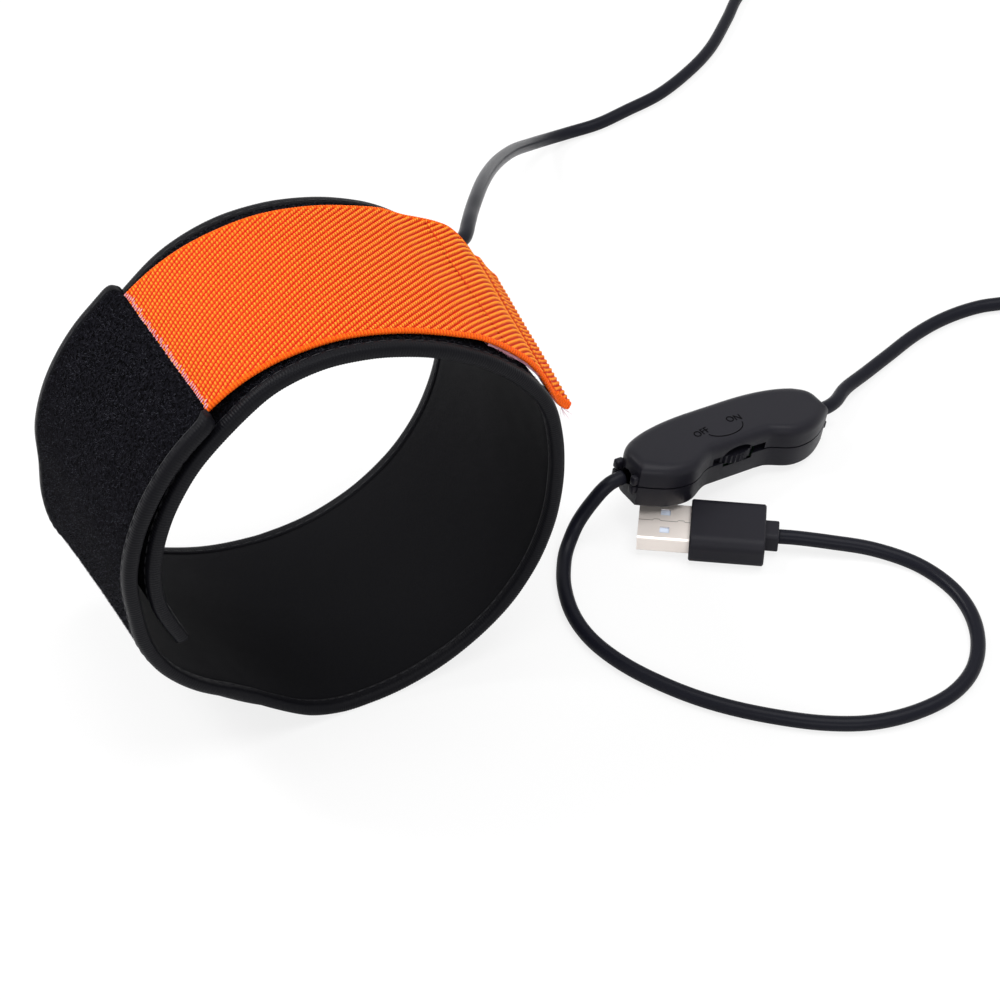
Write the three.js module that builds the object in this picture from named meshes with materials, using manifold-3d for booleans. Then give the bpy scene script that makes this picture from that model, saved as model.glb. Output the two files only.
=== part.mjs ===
// Heater strip that keeps dew off a telescope or camera barrel, with its dimmer, plug and cable.
// Millimetres, +Z up. The barrel's axis runs along Y and the strip rests on z = 0.
// The origin is under the middle of the wrapped strip.
import * as THREE from 'three';
import { mergeVertices } from 'three/addons/utils/BufferGeometryUtils.js';
import Module from 'manifold-3d';

const wasm = await Module();
wasm.setup();

// Running gap between touching pieces
const GAP = 0.3;

// Cloth strip: width along the barrel and the thickness of its layers, from the barrel outwards
const STRIP_WIDTH = 58;
const LINING_THICKNESS = 0.5;
const HEATER_THICKNESS = 0.2;
const FOAM_THICKNESS = 0.7;
const PILE_THICKNESS = 0.8;
const LAYER_GAP = 0.2;
const STRIP_THICKNESS = LINING_THICKNESS + HEATER_THICKNESS + FOAM_THICKNESS + PILE_THICKNESS + 3 * LAYER_GAP;
const STRIP_STEP = 7;
const HEATER_MARGIN = 6;

// Satin binding folded over the strip's edges
const BINDING_THICKNESS = 0.45;
const BINDING_LEG = 2.6;
const TAIL_BINDING_LEG = 5;

// Elastic strap, its diagonal ribs and the hook patch under its end
const STRAP_WIDTH = 48;
const STRAP_MIDDLE_Y = -1;
const STRAP_THICKNESS = 1.1;
const STRAP_ROOT = 9;
const STRAP_FREE_LENGTH = 89.5;
const STRAP_FOLD = 7;
const STRAP_FOLD_RISE = 0.8;
const STRAP_FLARE = 4;
const STRAP_FLARE_X = [38, 50];
const RIB_PITCH = 2.3;
const RIB_HEIGHT = 0.35;
const RIB_ANGLE = THREE.MathUtils.degToRad(27);
const HOOK_THICKNESS = 0.9;
const HOOK_LENGTH = 26;
const HOOK_SETBACK = 3;
const HOOK_WIDTH = 45;

// The barrel is a little wider at the front, so the loop leans up towards its front edge
const LEAN_RATIO = 0.046;
const LEAN_END_X = 38;
const LEAN_SPAN = 65;

// Its lower left bellies out towards the rear edge and tucks in towards the front one
const BELLY = 5.6;
const BELLY_X = [-5, -30];
const BELLY_TOP_Z = 60;
const BELLY_SPAN_Z = 40;

// Round cable
const CABLE_DIAMETER = 3.5;
const CABLE_SIDES = 8;
const CABLE_REST_Z = CABLE_DIAMETER / 2;

// Materials
const pile = new THREE.MeshStandardMaterial({ color: 0x141418, roughness: 1 });
const lining = new THREE.MeshStandardMaterial({ color: 0x17171b, roughness: 0.7 });
const satin = new THREE.MeshStandardMaterial({ color: 0x1c1c20, roughness: 0.45 });
const foam = new THREE.MeshStandardMaterial({ color: 0x2a2a2d, roughness: 0.95 });
const heaterFilm = new THREE.MeshStandardMaterial({ color: 0xb5752c, roughness: 0.4 });
const elastic = new THREE.MeshStandardMaterial({ color: 0xff6a18, roughness: 0.75 });
const hookTape = new THREE.MeshStandardMaterial({ color: 0xe9c3cf, roughness: 0.6 });
const blackPlastic = new THREE.MeshStandardMaterial({ color: 0x202126, roughness: 0.42 });
const cableJacket = new THREE.MeshStandardMaterial({ color: 0x1b1b21, roughness: 0.4 });
const nickel = new THREE.MeshStandardMaterial({ color: 0xc9beb6, roughness: 0.25, metalness: 1 });
const paleInsert = new THREE.MeshStandardMaterial({ color: 0xdfe6f2, roughness: 0.5 });
const gilt = new THREE.MeshStandardMaterial({ color: 0xd8b25a, roughness: 0.3, metalness: 1 });
const boardGreen = new THREE.MeshStandardMaterial({ color: 0x1f5a36, roughness: 0.6 });
const steel = new THREE.MeshStandardMaterial({ color: 0x9a9ca0, roughness: 0.35, metalness: 1 });

// Solids for cutting and joining
function solidOf(geometry) {
  const bare = geometry.clone();
  bare.deleteAttribute('normal');
  bare.deleteAttribute('uv');
  const merged = mergeVertices(bare, 1e-4);
  const mesh = new wasm.Mesh({
    numProp: 3,
    vertProperties: new Float32Array(merged.attributes.position.array),
    triVerts: new Uint32Array(merged.index.array),
  });
  return new wasm.Manifold(mesh);
}

function geometryOf(solid) {
  const mesh = solid.getMesh();
  const geometry = new THREE.BufferGeometry();
  geometry.setAttribute('position', new THREE.BufferAttribute(new Float32Array(mesh.vertProperties), 3));
  geometry.setIndex(new THREE.BufferAttribute(new Uint32Array(mesh.triVerts), 1));
  return geometry;
}

function cut(geometry, ...tools) {
  return geometryOf(tools.reduce((solid, tool) => solid.subtract(solidOf(tool)), solidOf(geometry)));
}

function join(...geometries) {
  return geometryOf(geometries.map(solidOf).reduce((whole, solid) => whole.add(solid)));
}

function box(xRange, yRange, zRange) {
  const size = [xRange, yRange, zRange].map(([low, high]) => high - low);
  const middle = [xRange, yRange, zRange].map(([low, high]) => (low + high) / 2);
  return new THREE.BoxGeometry(...size).translate(...middle);
}

// Upright cylinder between two heights
function post(radius, zLow, zHigh, x = 0, y = 0, sides = 20) {
  const geometry = new THREE.CylinderGeometry(radius, radius, zHigh - zLow, sides);
  return geometry.rotateX(Math.PI / 2).translate(x, y, (zLow + zHigh) / 2);
}

// A plan outline raised between two heights, with an optional bevel that grows inwards
function raised(outline, zLow, zHigh, bevel = 0, segments = 3) {
  const geometry = new THREE.ExtrudeGeometry(outline, {
    depth: zHigh - zLow - 2 * bevel,
    bevelEnabled: bevel > 0,
    bevelThickness: bevel,
    bevelSize: bevel,
    bevelOffset: -bevel,
    bevelSegments: segments,
    curveSegments: 6,
  });
  return geometry.translate(0, 0, zLow + bevel);
}

// Section of the strip's middle layer across the barrel, as [x, z].
// First turn: from the hidden tail at the left, over the top, down the right side and under the barrel.
const firstTurnPoints = [
  [-41, 40], [-43.5, 51], [-43.2, 62], [-39.8, 73], [-33.4, 83.2], [-24.8, 91.6], [-15.4, 98.2],
  [-5, 100.9], [6, 100.3], [16.4, 97.3], [25.4, 92.9], [33.2, 87.3], [40, 80.3], [45.2, 72],
  [48.2, 62], [48.8, 50], [46.6, 37], [41.4, 25], [33.4, 14.4], [23.6, 6.2], [13, 1.2],
];
const underBarrelPoints = [
  [3, 1.2], [-6, 1.4], [-15.5, 4.6], [-25.6, 10.8], [-35.2, 18.2], [-41.8, 24.8], [-46.2, 32.4], [-48.4, 41],
];

// Second layer over the hidden tail: how far it stands off at the tail's own points, LAP_FIRST to LAP_LAST
const LAP_FIRST = 1;
const LAP_LAST = 5;
const lapStandOff = [2.4, 2.2, 1.9, 1.6, 1.3];

function pathOf(points) {
  const curve = new THREE.CatmullRomCurve3(
    points.map(([x, z]) => new THREE.Vector3(x, 0, z)), false, 'centripetal');
  curve.arcLengthDivisions = 1200;
  return curve;
}

// Outward normal of a clockwise section path
function outwardAt(curve, u) {
  const tangent = curve.getTangentAt(u);
  return new THREE.Vector3(-tangent.z, 0, tangent.x);
}

const firstTurn = pathOf(firstTurnPoints);
const firstTurnLength = firstTurn.getLength();

// Share of a path's length at one of its own points
function arcShareOfPoint(curve, index) {
  const lengths = curve.getLengths();
  return lengths[Math.round((lengths.length - 1) * index / (curve.points.length - 1))] / curve.getLength();
}

const lapPoints = lapStandOff.map((standOff, offset) => {
  const u = arcShareOfPoint(firstTurn, LAP_FIRST + offset);
  const place = firstTurn.getPointAt(u).addScaledVector(outwardAt(firstTurn, u), STRIP_THICKNESS + standOff);
  return [place.x, place.z];
});

const strip = pathOf([...firstTurnPoints, ...underBarrelPoints, ...lapPoints]);
const stripLength = strip.getLength();

// Stations along a path between two arc lengths, pressed flat where they would dip under the floor
function stations(curve, from, to, step, floorZ) {
  const length = curve.getLength();
  const count = Math.max(1, Math.round((to - from) / step));
  const list = [];
  for (let i = 0; i <= count; i += 1) {
    const u = THREE.MathUtils.clamp((from + (to - from) * i / count) / length, 0, 1);
    const place = curve.getPointAt(u);
    const outward = outwardAt(curve, u);
    if (place.z < floorZ) {
      place.z = floorZ;
      outward.set(0, 0, -1);
    }
    list.push({ place, outward });
  }
  return list;
}

const stripStations = stations(strip, 0, stripLength, STRIP_STEP, STRIP_THICKNESS / 2);

// A closed sheet along the stations, between two depths measured outwards from the middle layer.
// outerDepth(i, j) may vary over the outer face; ys are the lines across the strip.
// A plain under side has lines at its two edges only.
function sheetSolid(list, innerDepth, outerDepth, ys, plainUnder = false) {
  const positions = [];
  const index = [];
  const last = list.length - 1;
  const edge = ys.length - 1;
  list.forEach(({ place, outward }, i) => {
    ys.forEach((y, j) => {
      for (const depth of [innerDepth, outerDepth(i, j)]) {
        const point = place.clone().addScaledVector(outward, depth);
        positions.push(point.x, y, point.z);
      }
    });
  });
  const inner = (i, j) => 2 * (i * ys.length + j);
  const outer = (i, j) => inner(i, j) + 1;
  const quad = (a, b, c, d) => index.push(a, b, c, a, c, d);
  for (let i = 0; i < last; i += 1) {
    for (let j = 0; j < edge; j += 1) {
      quad(outer(i, j), outer(i + 1, j), outer(i + 1, j + 1), outer(i, j + 1));
      if (!plainUnder) {
        index.push(inner(i, j), inner(i + 1, j + 1), inner(i + 1, j));
        index.push(inner(i, j), inner(i, j + 1), inner(i + 1, j + 1));
      }
    }
    if (plainUnder) {
      index.push(inner(i, 0), inner(i + 1, edge), inner(i + 1, 0));
      index.push(inner(i, 0), inner(i, edge), inner(i + 1, edge));
    }
    quad(inner(i, 0), inner(i + 1, 0), outer(i + 1, 0), outer(i, 0));
    quad(outer(i, edge), outer(i + 1, edge), inner(i + 1, edge), inner(i, edge));
  }
  for (let j = 0; j < edge; j += 1) {
    const low = plainUnder ? 0 : j;
    index.push(inner(0, low), outer(0, j), outer(0, j + 1));
    index.push(inner(last, low), outer(last, j + 1), outer(last, j));
    if (!plainUnder || j === edge - 1) {
      index.push(inner(0, low), outer(0, j + 1), inner(0, j + 1));
      index.push(inner(last, low), inner(last, j + 1), outer(last, j + 1));
    }
  }
  const geometry = new THREE.BufferGeometry();
  geometry.setAttribute('position', new THREE.Float32BufferAttribute(positions, 3));
  geometry.setIndex(index);
  return geometry;
}

// A layer of even thickness from one side to the other, with a line down its middle
function layer(list, [innerDepth, outerDepth], yLow, yHigh) {
  return sheetSolid(list, innerDepth, () => outerDepth, [yLow, (yLow + yHigh) / 2, yHigh]);
}

// Leans the wrapped cloth on the barrel: the left and top rise towards the front edge, the foot stays flat
function leaned(geometry) {
  const position = geometry.attributes.position;
  for (let i = 0; i < position.count; i += 1) {
    const [x, z] = [position.getX(i), position.getZ(i)];
    const across = position.getY(i) / (STRIP_WIDTH / 2);
    const share = THREE.MathUtils.clamp((LEAN_END_X - x) / LEAN_SPAN, 0, 1.1);
    const low = THREE.MathUtils.clamp((BELLY_TOP_Z - z) / BELLY_SPAN_Z, 0, 1) ** 2;
    const left = THREE.MathUtils.clamp((BELLY_X[0] - x) / (BELLY_X[0] - BELLY_X[1]), 0, 1);
    position.setX(i, x - BELLY * low * left * across);
    position.setZ(i, z * (1 - LEAN_RATIO * share * across));
  }
  return geometry;
}

// The strap's free end stands off a little towards its rear edge
function flared(geometry) {
  const position = geometry.attributes.position;
  for (let i = 0; i < position.count; i += 1) {
    const share = THREE.MathUtils.smoothstep(position.getX(i), ...STRAP_FLARE_X);
    const offset = STRAP_FLARE * share * ((position.getY(i) - STRAP_MIDDLE_Y) / STRAP_WIDTH + 0.5);
    position.setX(i, position.getX(i) + offset * Math.cos(RIB_ANGLE));
    position.setZ(i, position.getZ(i) + offset * Math.sin(RIB_ANGLE));
  }
  return geometry;
}

// Layer depths from the middle of the strip, outwards positive
const OUTER_FACE = STRIP_THICKNESS / 2;
const INNER_FACE = -STRIP_THICKNESS / 2;
const liningDepths = [INNER_FACE, INNER_FACE + LINING_THICKNESS];
const heaterDepths = [liningDepths[1] + LAYER_GAP, liningDepths[1] + LAYER_GAP + HEATER_THICKNESS];
const foamDepths = [heaterDepths[1] + LAYER_GAP, heaterDepths[1] + LAYER_GAP + FOAM_THICKNESS];
const pileDepths = [foamDepths[1] + LAYER_GAP, OUTER_FACE];

const HALF_WIDTH = STRIP_WIDTH / 2;
const CLOTH_HALF = HALF_WIDTH - BINDING_LEG - LAYER_GAP;
const CORE_HALF = HALF_WIDTH - BINDING_THICKNESS - LAYER_GAP;
const bindingSlot = [INNER_FACE + BINDING_THICKNESS, OUTER_FACE - BINDING_THICKNESS];

// The strip's own stations between two arc lengths, with both ends placed on the same facets
function stationsBetween(from, to) {
  const step = stripLength / (stripStations.length - 1);
  const between = (arc) => {
    const low = THREE.MathUtils.clamp(Math.floor(arc / step), 0, stripStations.length - 2);
    const [a, b] = [stripStations[low], stripStations[low + 1]];
    const share = arc / step - low;
    return { place: a.place.clone().lerp(b.place, share), outward: a.outward.clone().lerp(b.outward, share) };
  };
  const inner = stripStations.filter((_, i) => i * step > from + 1e-6 && i * step < to - 1e-6);
  return [between(from), ...inner, between(to)];
}

const tailClothStart = TAIL_BINDING_LEG + LAYER_GAP;
const tailCoreStart = BINDING_THICKNESS + LAYER_GAP;
const coreEnd = stripLength - STRAP_ROOT - 2 * LAYER_GAP;

function pileFabric() {
  return leaned(layer(stationsBetween(tailClothStart, stripLength), pileDepths, -CLOTH_HALF, CLOTH_HALF));
}

function liningFabric() {
  return leaned(layer(stationsBetween(tailClothStart, stripLength), liningDepths, -CLOTH_HALF, CLOTH_HALF));
}

function foamPad() {
  return leaned(layer(stationsBetween(tailCoreStart, coreEnd), foamDepths, -CORE_HALF, CORE_HALF));
}

function heaterSheet() {
  const half = HALF_WIDTH - HEATER_MARGIN;
  return leaned(layer(stationsBetween(HEATER_MARGIN, coreEnd), heaterDepths, -half, half));
}

// Folded edge tape: a channel round the strip's edge, open towards its middle
function edgeBinding(side) {
  const edge = side * HALF_WIDTH;
  const spine = side * (HALF_WIDTH - BINDING_THICKNESS);
  const mouth = side * (HALF_WIDTH - BINDING_LEG);
  const beyond = side * (HALF_WIDTH - BINDING_LEG - 1);
  const between = (a, b) => [Math.min(a, b), Math.max(a, b)];
  const body = sheetSolid(stripStations, INNER_FACE, () => OUTER_FACE, between(edge, mouth));
  const channel = sheetSolid(stationsBetween(-1, stripLength + 1), bindingSlot[0], () => bindingSlot[1],
    between(spine, beyond));
  return leaned(cut(body, channel));
}

// The same tape over the tail's end, between the two edge bindings
function tailBinding() {
  const half = HALF_WIDTH - BINDING_LEG - LAYER_GAP;
  const body = layer(stationsBetween(0, TAIL_BINDING_LEG), [INNER_FACE, OUTER_FACE], -half, half);
  const slotStations = stationsBetween(BINDING_THICKNESS, TAIL_BINDING_LEG + 1);
  const slot = layer(slotStations, bindingSlot, -half - 1, half + 1);
  return leaned(cut(body, slot));
}

// The strap's own path: sewn between pile and lining at the strip's end, then down onto the first turn
const STRAP_REST = OUTER_FACE + GAP + STRAP_THICKNESS / 2;
const HOOK_REST = STRAP_REST + HOOK_THICKNESS + GAP;
const seamArc = arcShareOfPoint(firstTurn, LAP_LAST) * firstTurnLength;
const slotMiddle = (pileDepths[0] + liningDepths[1]) / 2;
const hookStartArc = STRAP_FREE_LENGTH - HOOK_LENGTH - HOOK_SETBACK;

function aboveFirstTurn(arc, height) {
  const u = (seamArc + arc) / firstTurnLength;
  return firstTurn.getPointAt(u).addScaledVector(outwardAt(firstTurn, u), height);
}

function insideStripEnd(back) {
  const u = (stripLength - back) / stripLength;
  return strip.getPointAt(u).addScaledVector(outwardAt(strip, u), slotMiddle);
}

const strapPath = new THREE.CatmullRomCurve3([
  insideStripEnd(STRAP_ROOT),
  insideStripEnd(STRAP_ROOT / 2),
  insideStripEnd(0),
  aboveFirstTurn(8, STRAP_REST + 0.9),
  aboveFirstTurn(16, STRAP_REST + 0.2),
  aboveFirstTurn(28, STRAP_REST),
  aboveFirstTurn(40, STRAP_REST),
  aboveFirstTurn(hookStartArc - 8, STRAP_REST + 0.3),
  aboveFirstTurn(hookStartArc, HOOK_REST),
  aboveFirstTurn(hookStartArc + HOOK_LENGTH / 2, HOOK_REST),
  aboveFirstTurn(STRAP_FREE_LENGTH - HOOK_SETBACK, HOOK_REST + 0.2),
  aboveFirstTurn(STRAP_FREE_LENGTH, HOOK_REST + 0.9),
], false, 'centripetal');
strapPath.arcLengthDivisions = 800;

// Woven elastic: a closed sheet whose outer face carries diagonal ribs between two rolled edges
function elasticStrap() {
  const acrossSteps = 2 * Math.round(STRAP_WIDTH * Math.cos(RIB_ANGLE) / RIB_PITCH);
  const acrossStep = STRAP_WIDTH / acrossSteps;
  const length = strapPath.getLength();
  const alongSteps = Math.round(length * Math.tan(RIB_ANGLE) / acrossStep);
  const list = stations(strapPath, 0, length, length / alongSteps, -Infinity);
  const ys = Array.from({ length: acrossSteps + 1 }, (_, j) => STRAP_MIDDLE_Y - STRAP_WIDTH / 2 + j * acrossStep);
  const outerDepth = (i, j) => {
    const arc = length * i / alongSteps;
    const edge = j === 0 || j === acrossSteps;
    const rib = edge || arc < STRAP_ROOT + GAP ? 0.5 : 1 - (i + j) % 2;
    const fold = arc > length - STRAP_FOLD ? STRAP_FOLD_RISE : 0;
    return STRAP_THICKNESS / 2 + fold - RIB_HEIGHT * (1 - rib);
  };
  const geometry = sheetSolid(list, -STRAP_THICKNESS / 2, outerDepth, ys, true);
  return leaned(flared(geometry));
}

// Hook tape between the strap's end and the pile
function hookPatch() {
  const bottom = STRAP_REST - STRAP_THICKNESS / 2 + GAP / 2;
  const count = Math.round(HOOK_LENGTH / (STRIP_STEP / 2));
  const list = [];
  for (let i = 0; i <= count; i += 1) {
    const arc = hookStartArc + 1 + (HOOK_LENGTH - 1) * i / count;
    const u = (seamArc + arc) / firstTurnLength;
    list.push({ place: firstTurn.getPointAt(u), outward: outwardAt(firstTurn, u) });
  }
  const depths = [bottom, bottom + HOOK_THICKNESS - GAP];
  const [low, high] = [STRAP_MIDDLE_Y - HOOK_WIDTH / 2, STRAP_MIDDLE_Y + HOOK_WIDTH / 2];
  return leaned(flared(layer(list, depths, low, high)));
}

function smoothCurve(points) {
  return new THREE.CatmullRomCurve3(points.map((p) => new THREE.Vector3(...p)), false, 'centripetal');
}

// Cable tube along hand-chosen points
function cableTube(points, step = 2.8 * CABLE_DIAMETER) {
  const curve = smoothCurve(points);
  const section = new THREE.Shape();
  for (let k = 0; k < CABLE_SIDES; k += 1) {
    const angle = 2 * Math.PI * (k + 0.5) / CABLE_SIDES;
    const x = CABLE_DIAMETER / 2 * Math.cos(angle);
    const y = CABLE_DIAMETER / 2 * Math.sin(angle);
    if (k === 0) section.moveTo(x, y);
    else section.lineTo(x, y);
  }
  section.closePath();
  const steps = Math.min(80, Math.ceil(curve.getLength() / step));
  return new THREE.ExtrudeGeometry(section, { steps, extrudePath: curve, curveSegments: 1 });
}

// Boot where the cable leaves the strip's far edge, curving outwards
const BOOT_RADIUS = 2.6;
const bootPoints = [[48.5, 29.3, 65.4], [48.9, 31.2, 65.4], [50.8, 33.4, 65.4], [53.6, 35.1, 65.3]];

function cableBoot() {
  const curve = smoothCurve(bootPoints);
  const section = new THREE.Shape().absarc(0, 0, BOOT_RADIUS, 0, 2 * Math.PI);
  return new THREE.ExtrudeGeometry(section, { steps: 8, extrudePath: curve, curveSegments: 5 });
}

// Dimmer: plan outline of its shells, with two lobes and a straight recess for the thumb on the near side
const DIMMER_HALF_LENGTH = 29;
const DIMMER_END_HALF = 4.6;
const DIMMER_FAR_Y = 8.4;
const DIMMER_LOBE_Y = -8.8;
const DIMMER_RECESS_Y = -5.7;
const DIMMER_RECESS_HALF = 9;
const DIMMER_PARTING_Z = 5.8;
const DIMMER_HEIGHT = 11.6;
const DIMMER_WALL = 1.5;
const DIMMER_TOP_ROUND = 1.8;
const PARTING_GAP = 0.25;

function dimmerOutline(inset = 0) {
  const end = DIMMER_HALF_LENGTH - inset;
  const endHalf = DIMMER_END_HALF - inset * 0.6;
  const far = DIMMER_FAR_Y - inset;
  const lobe = DIMMER_LOBE_Y + inset;
  const recess = DIMMER_RECESS_Y + inset;
  const recessHalf = DIMMER_RECESS_HALF + inset * 0.7;
  const shape = new THREE.Shape();
  shape.moveTo(end, -endHalf);
  shape.lineTo(end, endHalf);
  shape.bezierCurveTo(end - 6, far - 1, 17, far, 9, far);
  shape.lineTo(-9, far);
  shape.bezierCurveTo(-17, far, 6 - end, far - 1, -end, endHalf);
  shape.lineTo(-end, -endHalf);
  shape.bezierCurveTo(4 - end, 2.4 + lobe, -21.5, lobe, -17, lobe);
  shape.bezierCurveTo(-13.5, lobe, -12, recess - 0.8, -recessHalf, recess);
  shape.lineTo(recessHalf, recess);
  shape.bezierCurveTo(12, recess - 0.8, 13.5, lobe, 17, lobe);
  shape.bezierCurveTo(21.5, lobe, end - 4, 2.4 + lobe, end, -endHalf);
  return shape;
}

// Thumbwheel and its place between the shells
const WHEEL_RADIUS = 8.2;
const WHEEL_TEETH = 40;
const WHEEL_TOOTH = 0.35;
const WHEEL_PROUD = 1.1;
const WHEEL_Y = DIMMER_RECESS_Y - WHEEL_PROUD + WHEEL_RADIUS;
const WHEEL_Z = [5.1, 7.5];
const WHEEL_SLOT_Z = [4.5, 8.1];
const WHEEL_PIN_RADIUS = 1.5;
const WHEEL_BORE_RADIUS = 1.56;
const WHEEL_CLEARANCE = 0.5;

// Circuit board, its parts and the case screws
const BOARD_Z = [DIMMER_WALL + GAP, DIMMER_WALL + GAP + 1.2];
const POT_RADIUS = 4.6;
const POT_Z = [BOARD_Z[1] + GAP, WHEEL_Z[0] - GAP];
const SCREW_X = 21;
const SCREW_Y = 0.4;
const SCREW_RADIUS = 1.0;
const SCREW_HEAD_RADIUS = 1.9;
const SCREW_HEAD_HEIGHT = 1.0;
const SCREW_TOP = 9;
const BOSS_RADIUS = 2.3;
const CABLE_HOLE_RADIUS = CABLE_DIAMETER / 2 + GAP;
const COLLAR_LENGTH = 1.5;
const COLLAR_HALF = 3.9;

function wheelRoom() {
  return post(WHEEL_RADIUS + WHEEL_CLEARANCE, WHEEL_SLOT_Z[0], WHEEL_SLOT_Z[1], 0, WHEEL_Y, 40);
}

function screwBosses() {
  return [-SCREW_X, SCREW_X].map((x) => post(BOSS_RADIUS, 0, DIMMER_HEIGHT, x, SCREW_Y));
}

function cablePassage() {
  const reach = DIMMER_HALF_LENGTH + COLLAR_LENGTH + 1;
  const geometry = new THREE.CylinderGeometry(CABLE_HOLE_RADIUS, CABLE_HOLE_RADIUS, 2 * reach, 16);
  return geometry.rotateZ(Math.PI / 2).translate(0, 0, DIMMER_PARTING_Z);
}

function dimmerBase() {
  const top = DIMMER_PARTING_Z - PARTING_GAP / 2;
  const outer = raised(dimmerOutline(), 0, DIMMER_HEIGHT, 0.5, 1);
  const collars = [-1, 1].map((side) => {
    const inner = side * (DIMMER_HALF_LENGTH - 1);
    const outerEnd = side * (DIMMER_HALF_LENGTH + COLLAR_LENGTH);
    const range = [Math.min(inner, outerEnd), Math.max(inner, outerEnd)];
    return box(range, [-COLLAR_HALF, COLLAR_HALF], [2, DIMMER_HEIGHT]);
  });
  const shell = cut(join(outer, ...collars), box([-40, 40], [-20, 20], [top, DIMMER_HEIGHT + 1]));
  const hollow = cut(raised(dimmerOutline(DIMMER_WALL), DIMMER_WALL, DIMMER_HEIGHT), ...screwBosses());
  const screwHoles = [-SCREW_X, SCREW_X].flatMap((x) => [
    post(SCREW_RADIUS + GAP, -1, DIMMER_HEIGHT, x, SCREW_Y),
    post(SCREW_HEAD_RADIUS + GAP, -1, SCREW_HEAD_HEIGHT + 2 * GAP, x, SCREW_Y),
  ]);
  return cut(shell, hollow, wheelRoom(), cablePassage(), ...screwHoles);
}

function dimmerLid() {
  const bottom = DIMMER_PARTING_Z + PARTING_GAP / 2;
  const outer = raised(dimmerOutline(), 0, DIMMER_HEIGHT, DIMMER_TOP_ROUND, 4);
  const shell = cut(outer, box([-40, 40], [-20, 20], [-1, bottom]));
  const hollow = cut(raised(dimmerOutline(DIMMER_WALL), 0, DIMMER_HEIGHT - DIMMER_WALL), ...screwBosses());
  const screwHoles = [-SCREW_X, SCREW_X].map((x) => post(SCREW_RADIUS + GAP, 0, SCREW_TOP + GAP, x, SCREW_Y));
  const thumbNotch = post(7.2, WHEEL_SLOT_Z[1] - 0.2, DIMMER_HEIGHT + 1, 0, DIMMER_RECESS_Y - 5.4, 36);
  const slotRange = [DIMMER_RECESS_Y - 3, DIMMER_RECESS_Y + 2.2];
  const wheelSlot = box([-7.6, 7.6], slotRange, [bottom - 1, WHEEL_SLOT_Z[1]]);
  return cut(shell, hollow, wheelRoom(), wheelSlot, thumbNotch, cablePassage(), ...screwHoles);
}

function thumbWheel() {
  const outline = new THREE.Shape();
  for (let k = 0; k < 2 * WHEEL_TEETH; k += 1) {
    const angle = Math.PI * k / WHEEL_TEETH;
    const radius = WHEEL_RADIUS - (k % 2) * WHEEL_TOOTH;
    const x = radius * Math.cos(angle);
    const y = radius * Math.sin(angle);
    if (k === 0) outline.moveTo(x, y);
    else outline.lineTo(x, y);
  }
  outline.closePath();
  outline.holes.push(new THREE.Path().absarc(0, 0, WHEEL_BORE_RADIUS, 0, 2 * Math.PI));
  return raised(outline, WHEEL_Z[0], WHEEL_Z[1]).translate(0, WHEEL_Y, 0);
}

function potentiometer() {
  const body = post(POT_RADIUS, POT_Z[0], POT_Z[1], 0, WHEEL_Y, 24);
  const pin = post(WHEEL_PIN_RADIUS, POT_Z[1] - 0.5, WHEEL_Z[1] + 1.2, 0, WHEEL_Y, 24);
  return join(body, pin);
}

function circuitBoard() {
  const half = SCREW_X - BOSS_RADIUS - 1;
  return box([-half, half], [DIMMER_RECESS_Y + DIMMER_WALL + 0.6, DIMMER_FAR_Y - DIMMER_WALL - 0.8], BOARD_Z);
}

function powerTransistor() {
  const bottom = BOARD_Z[1] + GAP;
  const body = box([10, 15], [-2.6, 2.4], [bottom, bottom + 2.2]);
  const tab = box([10.4, 14.6], [2.2, 4.4], [bottom, bottom + 0.8]);
  return join(body, tab);
}

function capacitor() {
  const bottom = BOARD_Z[1] + GAP;
  const profile = [[0, 0], [2.1, 0], [2.1, 4], [1.8, 4.5], [0, 4.5]].map(([r, z]) => new THREE.Vector2(r, z));
  return new THREE.LatheGeometry(profile, 16).rotateX(Math.PI / 2).translate(-13, 0.6, bottom);
}

function caseScrew(x) {
  const head = GAP;
  const under = head + SCREW_HEAD_HEIGHT;
  const profile = [[0, head], [SCREW_HEAD_RADIUS, head], [SCREW_HEAD_RADIUS, under], [SCREW_RADIUS, under],
    [SCREW_RADIUS, SCREW_TOP - 0.8], [0, SCREW_TOP]].map(([r, z]) => new THREE.Vector2(r, z));
  const body = new THREE.LatheGeometry(profile, 16).rotateX(Math.PI / 2).translate(x, SCREW_Y, 0);
  const slots = [box([x - 1.2, x + 1.2], [SCREW_Y - 0.25, SCREW_Y + 0.25], [0, head + 0.5]),
    box([x - 0.25, x + 0.25], [SCREW_Y - 1.2, SCREW_Y + 1.2], [0, head + 0.5])];
  return cut(body, ...slots);
}

// Plug: local x runs from the open end of the shell towards the cable
const SHELL_WIDTH = 12;
const SHELL_HEIGHT = 4.5;
const SHELL_WALL = 0.35;
const SHELL_OUT = 12.3;
const SHELL_IN = 4;
const GRIP_LENGTH = 17.7;
const GRIP_WIDTH = 15.8;
const GRIP_HEIGHT = 8;
const GRIP_ROUND = 2.7;
const NECK_LENGTH = 3.2;
const NECK_WIDTH = 6.2;
const NECK_HEIGHT = 5.4;
const WINDOW = [2.3, 2.0];
const WINDOW_X = 6.3;
const WINDOW_Y = 2.9;
const CONTACT_Y = [-3.5, -1.0, 1.0, 3.5];
const SHELL_BOTTOM = (GRIP_HEIGHT - SHELL_HEIGHT) / 2;
const SHELL_MIDDLE = GRIP_HEIGHT / 2;

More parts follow.
